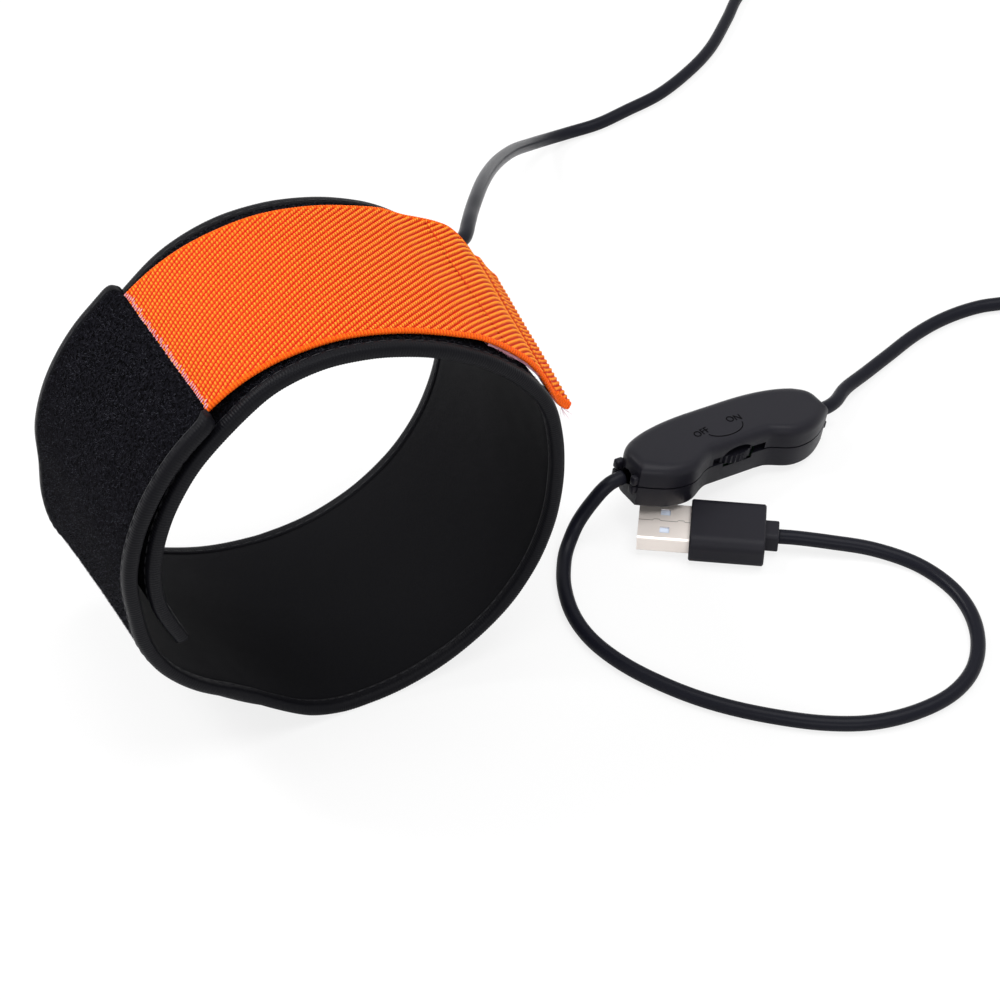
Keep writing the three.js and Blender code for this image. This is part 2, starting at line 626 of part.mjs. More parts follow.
// A rounded section in YZ drawn out along x
function drawnAlongX(width, height, round, xLow, xHigh, middleZ, bevel = 0) {
  const w = width / 2;
  const h = height / 2;
  const shape = new THREE.Shape();
  shape.moveTo(-w + round, -h);
  shape.lineTo(w - round, -h);
  shape.absarc(w - round, -h + round, round, -Math.PI / 2, 0);
  shape.lineTo(w, h - round);
  shape.absarc(w - round, h - round, round, 0, Math.PI / 2);
  shape.lineTo(-w + round, h);
  shape.absarc(-w + round, h - round, round, Math.PI / 2, Math.PI);
  shape.lineTo(-w, -h + round);
  shape.absarc(-w + round, -h + round, round, Math.PI, 1.5 * Math.PI);
  const geometry = raised(shape, xLow, xHigh, bevel, 1);
  return geometry.applyMatrix4(new THREE.Matrix4().set(
    0, 0, 1, 0,
    1, 0, 0, 0,
    0, 1, 0, middleZ,
    0, 0, 0, 1));
}

function plugShell() {
  const outer = drawnAlongX(SHELL_WIDTH, SHELL_HEIGHT, 0.6, 0, SHELL_OUT + SHELL_IN, SHELL_MIDDLE);
  const inner = drawnAlongX(SHELL_WIDTH - 2 * SHELL_WALL, SHELL_HEIGHT - 2 * SHELL_WALL, 0.35,
    -1, SHELL_OUT + SHELL_IN + 1, SHELL_MIDDLE);
  const windows = [-WINDOW_Y, WINDOW_Y].map((y) => box([WINDOW_X - WINDOW[0] / 2, WINDOW_X + WINDOW[0] / 2],
    [y - WINDOW[1] / 2, y + WINDOW[1] / 2], [SHELL_BOTTOM - 1, SHELL_BOTTOM + SHELL_HEIGHT + 1]));
  return cut(outer, inner, ...windows);
}

function plugInsulator() {
  const half = SHELL_WIDTH / 2 - SHELL_WALL - GAP / 2;
  const bottom = SHELL_BOTTOM + SHELL_WALL + GAP / 2;
  const top = SHELL_BOTTOM + SHELL_HEIGHT - SHELL_WALL - GAP / 2;
  const block = box([SHELL_OUT - 2.6, SHELL_OUT + SHELL_IN - 0.5], [-half, half], [bottom, top]);
  const tongue = box([0.7, SHELL_OUT], [-half, half], [top - 1.7, top]);
  const slots = CONTACT_Y.map((y) => box([SHELL_OUT - 3, SHELL_OUT + SHELL_IN],
    [y - 0.8, y + 0.8], [top - 2.6, top - 1.7]));
  return cut(join(block, tongue), ...slots);
}

function plugContact(y) {
  const top = SHELL_BOTTOM + SHELL_HEIGHT - SHELL_WALL - GAP / 2 - 1.7 - GAP / 2;
  return box([1.6, SHELL_OUT + 1], [y - 0.5, y + 0.5], [top - 0.3, top]);
}

function plugGrip() {
  const grip = drawnAlongX(GRIP_WIDTH, GRIP_HEIGHT, GRIP_ROUND, SHELL_OUT, SHELL_OUT + GRIP_LENGTH, SHELL_MIDDLE, 0.35);
  const neck = drawnAlongX(NECK_WIDTH, NECK_HEIGHT, 1.2,
    SHELL_OUT + GRIP_LENGTH - 1, SHELL_OUT + GRIP_LENGTH + NECK_LENGTH, SHELL_MIDDLE, 0.2);
  const socket = drawnAlongX(SHELL_WIDTH + GAP, SHELL_HEIGHT + GAP, 0.6,
    SHELL_OUT - 1, SHELL_OUT + SHELL_IN + GAP, SHELL_MIDDLE);
  return cut(join(grip, neck), socket);
}

// Where the dimmer and the plug lie: the dimmer's left end is propped on the plug's metal shell
const DIMMER_PLACE = [106.8, -0.5, 4.45];
const DIMMER_YAW = THREE.MathUtils.degToRad(6.8);
const DIMMER_TILT = THREE.MathUtils.degToRad(9);
const PLUG_PLACE = [79.2, -10.4, 0];
const PLUG_YAW = THREE.MathUtils.degToRad(-32.9);

const dimmer = new THREE.Group();
dimmer.rotation.set(0, DIMMER_TILT, DIMMER_YAW, 'ZYX');
dimmer.position.set(...DIMMER_PLACE);

const plug = new THREE.Group();
plug.rotation.z = PLUG_YAW;
plug.position.set(...PLUG_PLACE);

// Coil of spare cable, tied, beside the route between strip and dimmer
const COIL_CENTRE = [274, 60];
const COIL_INNER = 14.9;
const COIL_OUTER = 26.1;
const TIE_THICKNESS = 0.5;
const TIE_ROOM = 0.7;
const COIL_Z = [TIE_THICKNESS + TIE_ROOM, TIE_THICKNESS + TIE_ROOM + 7.4];
const TIE_WIDTH = 8;
const TIE_ANGLE = THREE.MathUtils.degToRad(200);

function cableCoil() {
  const corner = 1.6;
  const profile = [
    [COIL_INNER + corner, COIL_Z[0]], [COIL_OUTER - corner, COIL_Z[0]], [COIL_OUTER, COIL_Z[0] + corner],
    [COIL_OUTER, COIL_Z[1] - corner], [COIL_OUTER - corner, COIL_Z[1]], [COIL_INNER + corner, COIL_Z[1]],
    [COIL_INNER, COIL_Z[1] - corner], [COIL_INNER, COIL_Z[0] + corner], [COIL_INNER + corner, COIL_Z[0]],
  ].map(([r, z]) => new THREE.Vector2(r, z));
  return new THREE.LatheGeometry(profile, 32).rotateX(Math.PI / 2).translate(...COIL_CENTRE, 0);
}

function coilTie() {
  const outline = (grow) => new THREE.Shape([
    [COIL_INNER - grow, COIL_Z[0] - grow], [COIL_OUTER + grow, COIL_Z[0] - grow],
    [COIL_OUTER + grow, COIL_Z[1] + grow], [COIL_INNER - grow, COIL_Z[1] + grow],
  ].map(([r, z]) => new THREE.Vector2(r, z)));
  const shape = outline(TIE_ROOM + TIE_THICKNESS);
  shape.holes.push(outline(TIE_ROOM));
  return new THREE.ExtrudeGeometry(shape, { depth: TIE_WIDTH, bevelEnabled: false })
    .rotateX(Math.PI / 2).translate(0, TIE_WIDTH / 2, 0).rotateZ(TIE_ANGLE).translate(...COIL_CENTRE, 0);
}

// Cable routes, as chosen points
const stripToCoilPoints = [
  [53.9, 35.3, 65.3], [57.4, 37.7, 64.6], [61.8, 44.3, 62.7], [65.2, 49.9, 60.4], [70.4, 58, 57],
  [78.4, 70.6, 50.4], [88, 85.4, 41], [98.7, 100.7, 30.4], [110.1, 115.4, 19.4], [121, 127, 9.8],
  [130.2, 133.6, 4.2], [138.2, 136, 2.1], [147.6, 136.4, CABLE_REST_Z], [158.2, 138.4, CABLE_REST_Z],
  [170.1, 141, CABLE_REST_Z], [184.2, 147.4, CABLE_REST_Z], [194.9, 154.2, CABLE_REST_Z],
  [207.2, 165.2, CABLE_REST_Z], [217, 174.6, CABLE_REST_Z], [232, 183.6, CABLE_REST_Z], [252, 184.4, CABLE_REST_Z],
  [274, 174, CABLE_REST_Z], [292, 156, CABLE_REST_Z], [302, 134, CABLE_REST_Z], [304.4, 110, CABLE_REST_Z],
  [303.4, 86, 2.6], [302.2, 62, 2.95],
];
const coilToDimmerPoints = [
  [268.4, 32.4, 2.95], [253, 27.4, 2.2], [238, 19.4, CABLE_REST_Z], [222, 16.4, CABLE_REST_Z],
  [210, 18.3, CABLE_REST_Z], [204.5, 19.8, CABLE_REST_Z], [199.6, 21.1, CABLE_REST_Z], [192.6, 21.6, CABLE_REST_Z],
  [185, 21, CABLE_REST_Z], [176.6, 19.1, CABLE_REST_Z], [167.4, 15.9, 1.8], [158.3, 12.5, 2.2], [149.2, 8.6, 3.4],
  [144, 5, 4.3], [140.6, 3.6, 4.95], [137.9, 3.2, 5.36],
];
const dimmerToPlugPoints = [
  [77.5, -4, 15], [75, -4.3, 15], [72.6, -4.4, 13.7], [70.2, -4.4, 11.2], [67.8, -4.4, 8.2],
  [65.4, -5, 5.5], [63, -6.6, 3.4], [60.7, -8.8, 2.2], [58.6, -11.8, CABLE_REST_Z], [55.4, -18, CABLE_REST_Z],
  [53.1, -26.6, CABLE_REST_Z], [53.2, -35.3, CABLE_REST_Z], [56.3, -45.4, CABLE_REST_Z],
  [62.5, -56.3, CABLE_REST_Z], [69.2, -64.8, CABLE_REST_Z], [78, -73.1, CABLE_REST_Z], [88.1, -80.5, CABLE_REST_Z],
  [97.5, -84.9, CABLE_REST_Z], [108.2, -86.7, CABLE_REST_Z], [117.9, -85.8, CABLE_REST_Z],
  [125.7, -82.1, CABLE_REST_Z], [131.6, -75.7, CABLE_REST_Z], [135.1, -67.8, CABLE_REST_Z],
  [135.8, -59.5, CABLE_REST_Z], [133, -49.6, CABLE_REST_Z], [126, -41, 2.4],
  [117.2, -34.9, 3.4], [110.3, -30.5, 4], [107.4, -28.65, 4],
];

// The whole object, set so that the wrapped strip's box is centred on the origin
const STRIP_BOX_MIDDLE_X = 2.49;
const model = new THREE.Group();
const placed = new THREE.Group();
placed.position.x = -STRIP_BOX_MIDDLE_X;
model.add(placed);

function add(parent, name, geometry, material) {
  const mesh = new THREE.Mesh(geometry, material);
  mesh.name = name;
  parent.add(mesh);
}

add(placed, 'pile_fabric', pileFabric(), pile);
add(placed, 'foam_pad', foamPad(), foam);
add(placed, 'heater_film', heaterSheet(), heaterFilm);
add(placed, 'lining_fabric', liningFabric(), lining);
add(placed, 'edge_binding_near', edgeBinding(-1), satin);
add(placed, 'edge_binding_far', edgeBinding(1), satin);
add(placed, 'tail_binding', tailBinding(), satin);
add(placed, 'elastic_strap', elasticStrap(), elastic);
add(placed, 'hook_patch', hookPatch(), hookTape);
add(placed, 'cable_boot', cableBoot(), cableJacket);

add(dimmer, 'dimmer_base', dimmerBase(), blackPlastic);
add(dimmer, 'dimmer_lid', dimmerLid(), blackPlastic);
add(dimmer, 'thumbwheel', thumbWheel(), blackPlastic);
add(dimmer, 'potentiometer', potentiometer(), steel);
add(dimmer, 'circuit_board', circuitBoard(), boardGreen);
add(dimmer, 'power_transistor', powerTransistor(), blackPlastic);
add(dimmer, 'capacitor', capacitor(), steel);
add(dimmer, 'case_screw_left', caseScrew(-SCREW_X), steel);
add(dimmer, 'case_screw_right', caseScrew(SCREW_X), steel);

add(plug, 'plug_shell', plugShell(), nickel);
add(plug, 'plug_insulator', plugInsulator(), paleInsert);
CONTACT_Y.forEach((y, i) => add(plug, `plug_contact_${i + 1}`, plugContact(y), gilt));
add(plug, 'plug_grip', plugGrip(), blackPlastic);

add(placed, 'cable_strip_run', cableTube(stripToCoilPoints), cableJacket);
add(placed, 'cable_coil', cableCoil(), cableJacket);
add(placed, 'coil_tie', coilTie(), pile);
add(placed, 'cable_dimmer_run', cableTube(coilToDimmerPoints), cableJacket);
add(placed, 'cable_plug_run', cableTube(dimmerToPlugPoints), cableJacket);
placed.add(dimmer, plug);

export default model;
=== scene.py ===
import math

import bpy
import numpy as np
from mathutils import Matrix, Vector


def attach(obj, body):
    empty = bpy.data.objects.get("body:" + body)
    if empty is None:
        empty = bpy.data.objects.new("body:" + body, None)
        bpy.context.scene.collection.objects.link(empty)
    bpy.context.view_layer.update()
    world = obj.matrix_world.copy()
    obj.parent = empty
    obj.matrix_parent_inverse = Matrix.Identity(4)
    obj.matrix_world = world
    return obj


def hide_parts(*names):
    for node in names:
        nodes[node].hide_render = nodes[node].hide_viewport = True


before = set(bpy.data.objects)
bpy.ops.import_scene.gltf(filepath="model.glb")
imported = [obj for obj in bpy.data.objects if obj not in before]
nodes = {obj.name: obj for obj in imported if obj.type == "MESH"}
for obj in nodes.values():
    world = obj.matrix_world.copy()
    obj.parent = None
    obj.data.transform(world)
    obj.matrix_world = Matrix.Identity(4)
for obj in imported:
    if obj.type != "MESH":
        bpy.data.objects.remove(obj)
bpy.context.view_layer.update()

BODY = "strip_and_cable"
MM = 0.001
ORIGIN_X = 2.49
rng = np.random.default_rng(7)


def to_row(points):
    """Millimetres of the part's source to metres of the row frame"""
    moved = np.array(points, float)
    moved[..., 0] -= ORIGIN_X
    return moved * MM


# Camera
LENS = 86.544
CAMERA_PLACE = (-128.63, -350.6, 413.83)
CAMERA_AIM = (55.5, 15.5, 0)
cam_data = bpy.data.cameras.new("camera")
cam_data.sensor_width = 36
cam_data.lens = LENS
cam_data.clip_start = 0.01
cam = bpy.data.objects.new("camera", cam_data)
bpy.context.scene.collection.objects.link(cam)
cam.location = Vector(to_row(CAMERA_PLACE))
aim = Vector(to_row(CAMERA_AIM)) - cam.location
cam.rotation_mode = "QUATERNION"
cam.rotation_quaternion = aim.to_track_quat("-Z", "Y")
bpy.context.scene.camera = cam


# Smooth paths through given points
class Path:
    def __init__(self, points, per=60):
        P = np.array(points, float)
        P = np.vstack([2 * P[0] - P[1], P, 2 * P[-1] - P[-2]])
        u = np.arange(per)[:, None] / per
        parts = []
        for i in range(1, len(P) - 2):
            p0, p1, p2, p3 = P[i - 1:i + 3]
            d0, d1, d2 = (math.sqrt(np.linalg.norm(b - a)) for a, b in ((p0, p1), (p1, p2), (p2, p3)))
            t1 = ((p1 - p0) / d0 - (p2 - p0) / (d0 + d1) + (p2 - p1) / d1) * d1
            t2 = ((p2 - p1) / d1 - (p3 - p1) / (d1 + d2) + (p3 - p2) / d2) * d1
            square = 3 * (p2 - p1) - 2 * t1 - t2
            cube = 2 * (p1 - p2) + t1 + t2
            parts.append(p1 + t1 * u + square * u ** 2 + cube * u ** 3)
        parts.append(P[-2][None])
        self.points = np.vstack(parts)
        self.arcs = np.concatenate([[0], np.cumsum(np.linalg.norm(np.diff(self.points, axis=0), axis=1))])
        self.length = self.arcs[-1]
        self.per = per

    def knot(self, index):
        return self.arcs[index * self.per]

    def at(self, arc):
        return np.stack([np.interp(arc, self.arcs, line) for line in self.points.T], -1)

    def normal(self, arc):
        """Outward normal of a clockwise path in XZ"""
        arc = np.asarray(arc, float)
        ahead = self.at(np.minimum(arc + 0.2, self.length))
        behind = self.at(np.maximum(arc - 0.2, 0))
        along = (ahead - behind) / np.linalg.norm(ahead - behind, axis=-1, keepdims=True)
        return np.stack([-along[..., 1], along[..., 0]], -1)


# Meshes from grids of points and from many small shapes
def mesh_object(name, points, faces, mats, uv=None, uv_name="UVMap", smooth=True, body=BODY, slots=None):
    """points in millimetres (n, 3); faces (m, k) with k corners each"""
    mesh = bpy.data.meshes.new(name)
    faces = np.asarray(faces)
    mesh.vertices.add(len(points))
    mesh.vertices.foreach_set("co", to_row(points).astype(np.float32).ravel())
    mesh.loops.add(faces.size)
    mesh.loops.foreach_set("vertex_index", faces.ravel().astype(np.int32))
    mesh.polygons.add(len(faces))
    mesh.polygons.foreach_set("loop_start", np.arange(0, faces.size, faces.shape[1], dtype=np.int32))
    if slots is not None:
        mesh.polygons.foreach_set("material_index", slots.astype(np.int32))
    if uv is not None:
        layer = mesh.uv_layers.new(name=uv_name)
        layer.data.foreach_set("uv", uv[faces.ravel()].astype(np.float32).ravel())
    mesh.update(calc_edges=True)
    mesh.validate()
    if smooth:
        mesh.shade_smooth()
    for mat in mats:
        mesh.materials.append(mat)
    obj = bpy.data.objects.new(name, mesh)
    bpy.context.scene.collection.objects.link(obj)
    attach(obj, body)
    return obj


def grid_faces(rows, columns, wrap=False):
    across = columns if wrap else columns - 1
    i, j = np.meshgrid(np.arange(rows - 1), np.arange(across), indexing="ij")
    ahead = (j + 1) % columns
    return np.stack([i * columns + j, (i + 1) * columns + j, (i + 1) * columns + ahead,
                     i * columns + ahead], -1).reshape(-1, 4)


def ring_caps(rows, columns):
    """Quads that close the first and last ring of a wrapped grid, from one side to the other"""
    j = np.arange(columns // 2 - 1)
    first = np.stack([j, j + 1, columns - 2 - j, columns - 1 - j], -1)
    last = first[:, ::-1] + (rows - 1) * columns
    return np.vstack([first, last])


# Cable routes, in metres
strip_to_coil = [
    (0.0539, 0.0353, 0.0653), (0.0574, 0.0377, 0.0646), (0.0618, 0.0443, 0.0627),
    (0.0652, 0.0499, 0.0604), (0.0704, 0.058, 0.057), (0.0784, 0.0706, 0.0504),
    (0.088, 0.0854, 0.041), (0.0987, 0.1007, 0.0304), (0.1101, 0.1154, 0.0194),
    (0.121, 0.127, 0.0098), (0.1302, 0.1336, 0.0042), (0.1382, 0.136, 0.0021),
    (0.1476, 0.1364, 0.00175), (0.1582, 0.1384, 0.00175), (0.1701, 0.141, 0.00175),
    (0.1842, 0.1474, 0.00175), (0.1949, 0.1542, 0.00175), (0.2072, 0.1652, 0.00175),
    (0.217, 0.1746, 0.00175), (0.232, 0.1836, 0.00175), (0.252, 0.1844, 0.00175),
    (0.274, 0.174, 0.00175), (0.292, 0.156, 0.00175), (0.302, 0.134, 0.00175),
    (0.3044, 0.11, 0.00175), (0.3034, 0.086, 0.0026), (0.3022, 0.062, 0.00295),
]
coil_to_dimmer = [
    (0.2684, 0.0324, 0.00295), (0.253, 0.0274, 0.0022), (0.238, 0.0194, 0.00175),
    (0.222, 0.0164, 0.00175), (0.21, 0.0183, 0.00175), (0.2045, 0.0198, 0.00175),
    (0.1996, 0.0211, 0.00175), (0.1926, 0.0216, 0.00175), (0.185, 0.021, 0.00175),
    (0.1766, 0.0191, 0.00175), (0.1674, 0.0159, 0.0018), (0.1583, 0.0125, 0.0022),
    (0.1492, 0.0086, 0.0034), (0.144, 0.005, 0.0043), (0.1406, 0.0036, 0.00495),
    (0.1379, 0.0032, 0.00536),
]
dimmer_to_plug = [
    (0.0775, -0.004, 0.015), (0.075, -0.0043, 0.015), (0.0726, -0.0044, 0.0137),
    (0.0702, -0.0044, 0.0112), (0.0678, -0.0044, 0.0082), (0.0654, -0.005, 0.0055),
    (0.063, -0.0066, 0.0034), (0.0607, -0.0088, 0.0022), (0.0586, -0.0118, 0.00175),
    (0.0554, -0.018, 0.00175), (0.0531, -0.0266, 0.00175), (0.0532, -0.0353, 0.00175),
    (0.0563, -0.0454, 0.00175), (0.0625, -0.0563, 0.00175), (0.0692, -0.0648, 0.00175),
    (0.078, -0.0731, 0.00175), (0.0881, -0.0805, 0.00175), (0.0975, -0.0849, 0.00175),
    (0.1082, -0.0867, 0.00175), (0.1179, -0.0858, 0.00175), (0.1257, -0.0821, 0.00175),
    (0.1316, -0.0757, 0.00175), (0.1351, -0.0678, 0.00175), (0.1358, -0.0595, 0.00175),
    (0.133, -0.0496, 0.00175), (0.126, -0.041, 0.0024), (0.1172, -0.0349, 0.0034),
    (0.1103, -0.0305, 0.004), (0.1074, -0.02865, 0.004),
]
CABLE_DIAMETER = 3.5
COIL_CENTRE = (274, 60)
COIL_LOW_Z = 2.95
COIL_HIGH_Z = 6.3
COIL_RADIUS = 28.2
COIL_STEP = 0.12


def smoothstep(low, high, value):
    t = np.clip((value - low) / (high - low), 0, 1)
    return t * t * (3 - 2 * t)


def coil_points():
    """Turns of the coil: three side by side at the bottom, then two on top of them, in millimetres"""
    start = math.atan2(2, COIL_RADIUS)
    turn = 2 * math.pi
    total = 5 * turn + math.radians(105.5)
    angle = np.arange(COIL_STEP, total - 0.1, COIL_STEP)
    radius = np.full(angle.shape, COIL_RADIUS)
    height = np.full(angle.shape, COIL_LOW_Z)
    steps = [(0.1, 24.2, COIL_LOW_Z), (1.02, 20.5, COIL_LOW_Z), (2.02, 16.8, COIL_LOW_Z),
             (3.02, 18.7, COIL_HIGH_Z), (4.02, 22.5, COIL_HIGH_Z), (5.05, COIL_RADIUS, COIL_LOW_Z)]
    for at_turn, to_radius, to_height in steps:
        share = smoothstep(at_turn * turn, (at_turn + 0.2) * turn, angle)
        radius = radius + share * (to_radius - radius)
        height = height + share * (to_height - height)
    place = start - angle
    x = COIL_CENTRE[0] + radius * np.cos(place)
    y = COIL_CENTRE[1] + radius * np.sin(place)
    return np.stack([x, y, height], -1)


def cable_tube(name, points, sides=18):
    """A round cable along points in millimetres, as a closed tube whose frame doesn't twist"""
    ahead = np.gradient(points, axis=0)
    ahead /= np.linalg.norm(ahead, axis=1, keepdims=True)
    side = np.zeros_like(points)
    side[0] = np.cross(ahead[0], (0.3, 0.2, 1))
    side[0] /= np.linalg.norm(side[0])
    for k in range(1, len(points)):
        turned = side[k - 1] - ahead[k] * np.dot(side[k - 1], ahead[k])
        side[k] = turned / np.linalg.norm(turned)
    up = np.cross(ahead, side)
    around = np.linspace(0, 2 * math.pi, sides, endpoint=False)
    ring = side[:, None] * np.cos(around)[None, :, None] + up[:, None] * np.sin(around)[None, :, None]
    surface = points[:, None] + ring * CABLE_DIAMETER / 2
    surface[..., 2] = np.maximum(surface[..., 2], 0)
    faces = np.vstack([grid_faces(len(points), sides, wrap=True), ring_caps(len(points), sides)])
    return mesh_object(name, surface.reshape(-1, 3), faces[:, ::-1], [])


def run_points(metres, step=1.5):
    path = Path(np.array(metres) / MM)
    return path.at(np.linspace(0, path.length, int(path.length / step) + 1))


def longer(points, at_start, at_end):
    """Runs a path on, straight, into the pieces that it ends in"""
    first = points[0] + (points[0] - points[1]) / np.linalg.norm(points[0] - points[1]) * at_start
    last = points[-1] + (points[-1] - points[-2]) / np.linalg.norm(points[-1] - points[-2]) * at_end
    return np.vstack([first, points, last])


heater_route = np.vstack([run_points(strip_to_coil), coil_points(), run_points(coil_to_dimmer)])
heater_route = longer(heater_route, 0.8, 0.8)
plug_route = longer(run_points(dimmer_to_plug), 0.5, 0.8)
heater_cable = cable_tube("heater_cable", heater_route)
plug_cable = cable_tube("plug_cable", plug_route)
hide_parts("cable_strip_run", "cable_coil", "cable_dimmer_run")
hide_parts("cable_plug_run")


# Materials
def material(name, colour, roughness, metallic=0.0, specular=0.5):
    mat = bpy.data.materials.new(name)
    mat.use_nodes = True
    shader = mat.node_tree.nodes["Principled BSDF"]
    shader.inputs["Base Color"].default_value = (*colour, 1)
    shader.inputs["Roughness"].default_value = roughness
    shader.inputs["Metallic"].default_value = metallic
    shader.inputs["Specular IOR Level"].default_value = specular
    return mat


def node(mat, kind, **settings):
    made = mat.node_tree.nodes.new(kind)
    for key, value in settings.items():
        if key in made.inputs:
            made.inputs[key].default_value = value
        else:
            setattr(made, key, value)
    return made


def link(mat, source, output, target, entry):
    mat.node_tree.links.new(source.outputs[output], target.inputs[entry])


def grain(mat, scale, strength, distance, detail=3.0):
    """Fine bump of a noise whose scale is in cells per metre"""
    shader = mat.node_tree.nodes["Principled BSDF"]
    place = node(mat, "ShaderNodeTexCoord")
    noise = node(mat, "ShaderNodeTexNoise", Scale=scale, Detail=detail)
    bump = node(mat, "ShaderNodeBump", Strength=strength, Distance=distance)
    link(mat, place, "Object", noise, "Vector")
    link(mat, noise, "Fac", bump, "Height")
    link(mat, bump, "Normal", shader, "Normal")


def mottled(mat, noise_scale, dark, light):
    """Colour that varies with a fine noise"""
    shader = mat.node_tree.nodes["Principled BSDF"]
    place = node(mat, "ShaderNodeTexCoord")
    noise = node(mat, "ShaderNodeTexNoise", Scale=noise_scale, Detail=2.0)
    ramp = node(mat, "ShaderNodeValToRGB")
    ramp.color_ramp.elements[0].position = 0.38
    ramp.color_ramp.elements[0].color = (*dark, 1)
    ramp.color_ramp.elements[1].position = 0.66
    ramp.color_ramp.elements[1].color = (*light, 1)
    link(mat, place, "Object", noise, "Vector")
    link(mat, noise, "Fac", ramp, "Fac")
    link(mat, ramp, "Color", shader, "Base Color")


pile_mat = material("pile", (0.004, 0.004, 0.005), 0.95, specular=0.02)
mottled(pile_mat, 1500, (0.0005, 0.0005, 0.0008), (0.008, 0.008, 0.011))
grain(pile_mat, 1800, 0.9, 0.0004)


def strand_material(name, dark, light):
    """Each strand has its own brightness"""
    mat = material(name, dark, 0.9, specular=0.02)
    shader = mat.node_tree.nodes["Principled BSDF"]
    shape = node(mat, "ShaderNodeNewGeometry")
    ramp = node(mat, "ShaderNodeValToRGB")
    ramp.color_ramp.elements[0].position = 0.45
    ramp.color_ramp.elements[0].color = (*dark, 1)
    ramp.color_ramp.elements[1].position = 1.0
    ramp.color_ramp.elements[1].color = (*light, 1)
    link(mat, shape, "Random Per Island", ramp, "Fac")
    link(mat, ramp, "Color", shader, "Base Color")
    return mat


fuzz_mat = strand_material("pile_fuzz", (0.0008, 0.0008, 0.0013), (0.055, 0.055, 0.068))
lining_mat = material("lining", (0.004, 0.004, 0.005), 0.8, specular=0.08)
grain(lining_mat, 2500, 0.5, 0.0001)
satin_mat = material("satin", (0.004, 0.004, 0.0055), 0.45, specular=0.07)
thread_mat = material("thread", (0.006, 0.006, 0.008), 0.5, specular=0.22)
foam_mat = material("foam", (0.03, 0.03, 0.035), 0.95)
heater_mat = material("heater", (0.45, 0.18, 0.03), 0.4, metallic=1.0)
hook_mat = material("hook", (0.75, 0.4, 0.5), 0.6, specular=0.2)
grain(hook_mat, 3000, 1.0, 0.0003)
jacket_mat = material("jacket", (0.007, 0.0073, 0.0115), 0.34, specular=0.08)
grain(jacket_mat, 900, 0.08, 0.0001)
plastic_mat = material("black_plastic", (0.008, 0.0076, 0.0115), 0.4, specular=0.15)
grain(plastic_mat, 4200, 0.35, 0.00008)
grip_mat = material("grip_plastic", (0.008, 0.0076, 0.0115), 0.5, specular=0.15)
grain(grip_mat, 4200, 0.25, 0.00008)
nickel_mat = material("nickel", (0.86, 0.79, 0.74), 0.4, metallic=0.55)
grain(nickel_mat, 1600, 0.05, 0.0001)
insert_mat = material("pale_insert", (0.66, 0.74, 0.88), 0.5)
gilt_mat = material("gilt", (0.8, 0.55, 0.2), 0.3, metallic=1.0)
board_mat = material("board", (0.02, 0.1, 0.04), 0.6)
steel_mat = material("steel", (0.4, 0.41, 0.43), 0.35, metallic=1.0)
seam_mat = material("shell_seam", (0.08, 0.06, 0.05), 0.5)


# Woven elastic: the ribs run slantwise, with a bead at each crossing thread
RIB_SPACING = 1.54
BEAD_SPACING = 0.74


def elastic_material(name, low, high, with_ribs=True):
    """Deep orange painted shade between the beads and light orange painted highlight on top of them, over
    the elastic's own orange
    """
    mat = material(name, high, 0.7, specular=0.12)
    shader = mat.node_tree.nodes["Principled BSDF"]
    uv = node(mat, "ShaderNodeUVMap", uv_map="weave")
    parts = node(mat, "ShaderNodeSeparateXYZ")
    link(mat, uv, "UV", parts, "Vector")

    def wave(output, least):
        """A cosine of one texture axis, from least to 1"""
        turned = node(mat, "ShaderNodeMath", operation="MULTIPLY")
        turned.inputs[1].default_value = 2 * math.pi
        link(mat, parts, output, turned, 0)
        cosine = node(mat, "ShaderNodeMath", operation="COSINE")
        link(mat, turned, 0, cosine, 0)
        spread = node(mat, "ShaderNodeMath", operation="MULTIPLY_ADD")
        spread.inputs[1].default_value = (1 - least) / 2
        spread.inputs[2].default_value = (1 + least) / 2
        link(mat, cosine, 0, spread, 0)
        return spread

    height = wave("X", 0.12)
    if with_ribs:
        rib = wave("Y", 0.0)
        both = node(mat, "ShaderNodeMath", operation="MULTIPLY")
        link(mat, rib, 0, both, 0)
        link(mat, height, 0, both, 1)
        height = both
    uneven = node(mat, "ShaderNodeTexNoise", Scale=2.2, Detail=2.0)
    link(mat, uv, "UV", uneven, "Vector")
    varied = node(mat, "ShaderNodeMath", operation="MULTIPLY_ADD")
    varied.inputs[1].default_value = 0.3
    link(mat, uneven, "Fac", varied, 0)
    link(mat, height, 0, varied, 2)
    # The colour follows the weave's height: painted shade in the hollows, painted highlight on beads and
    # ribs
    ramp = node(mat, "ShaderNodeValToRGB")
    ramp.color_ramp.elements[0].position = 0.16
    ramp.color_ramp.elements[0].color = (*low, 1)
    ramp.color_ramp.elements[1].position = 0.88
    ramp.color_ramp.elements[1].color = (*high, 1)
    link(mat, varied, 0, ramp, "Fac")
    link(mat, ramp, "Color", shader, "Base Color")
    bump = node(mat, "ShaderNodeBump", Strength=0.9, Distance=0.0003)
    link(mat, height, 0, bump, "Height")
    link(mat, bump, "Normal", shader, "Normal")
    return mat


# Both elastics: orange with painted shade between the beads and painted highlight on their tops
elastic_mat = elastic_material("elastic", (0.55, 0.006, 0.0003), (1.0, 0.34, 0.032))
selvedge_mat = elastic_material("elastic_edge", (0.82, 0.06, 0.002), (1.0, 0.15, 0.006), with_ribs=False)

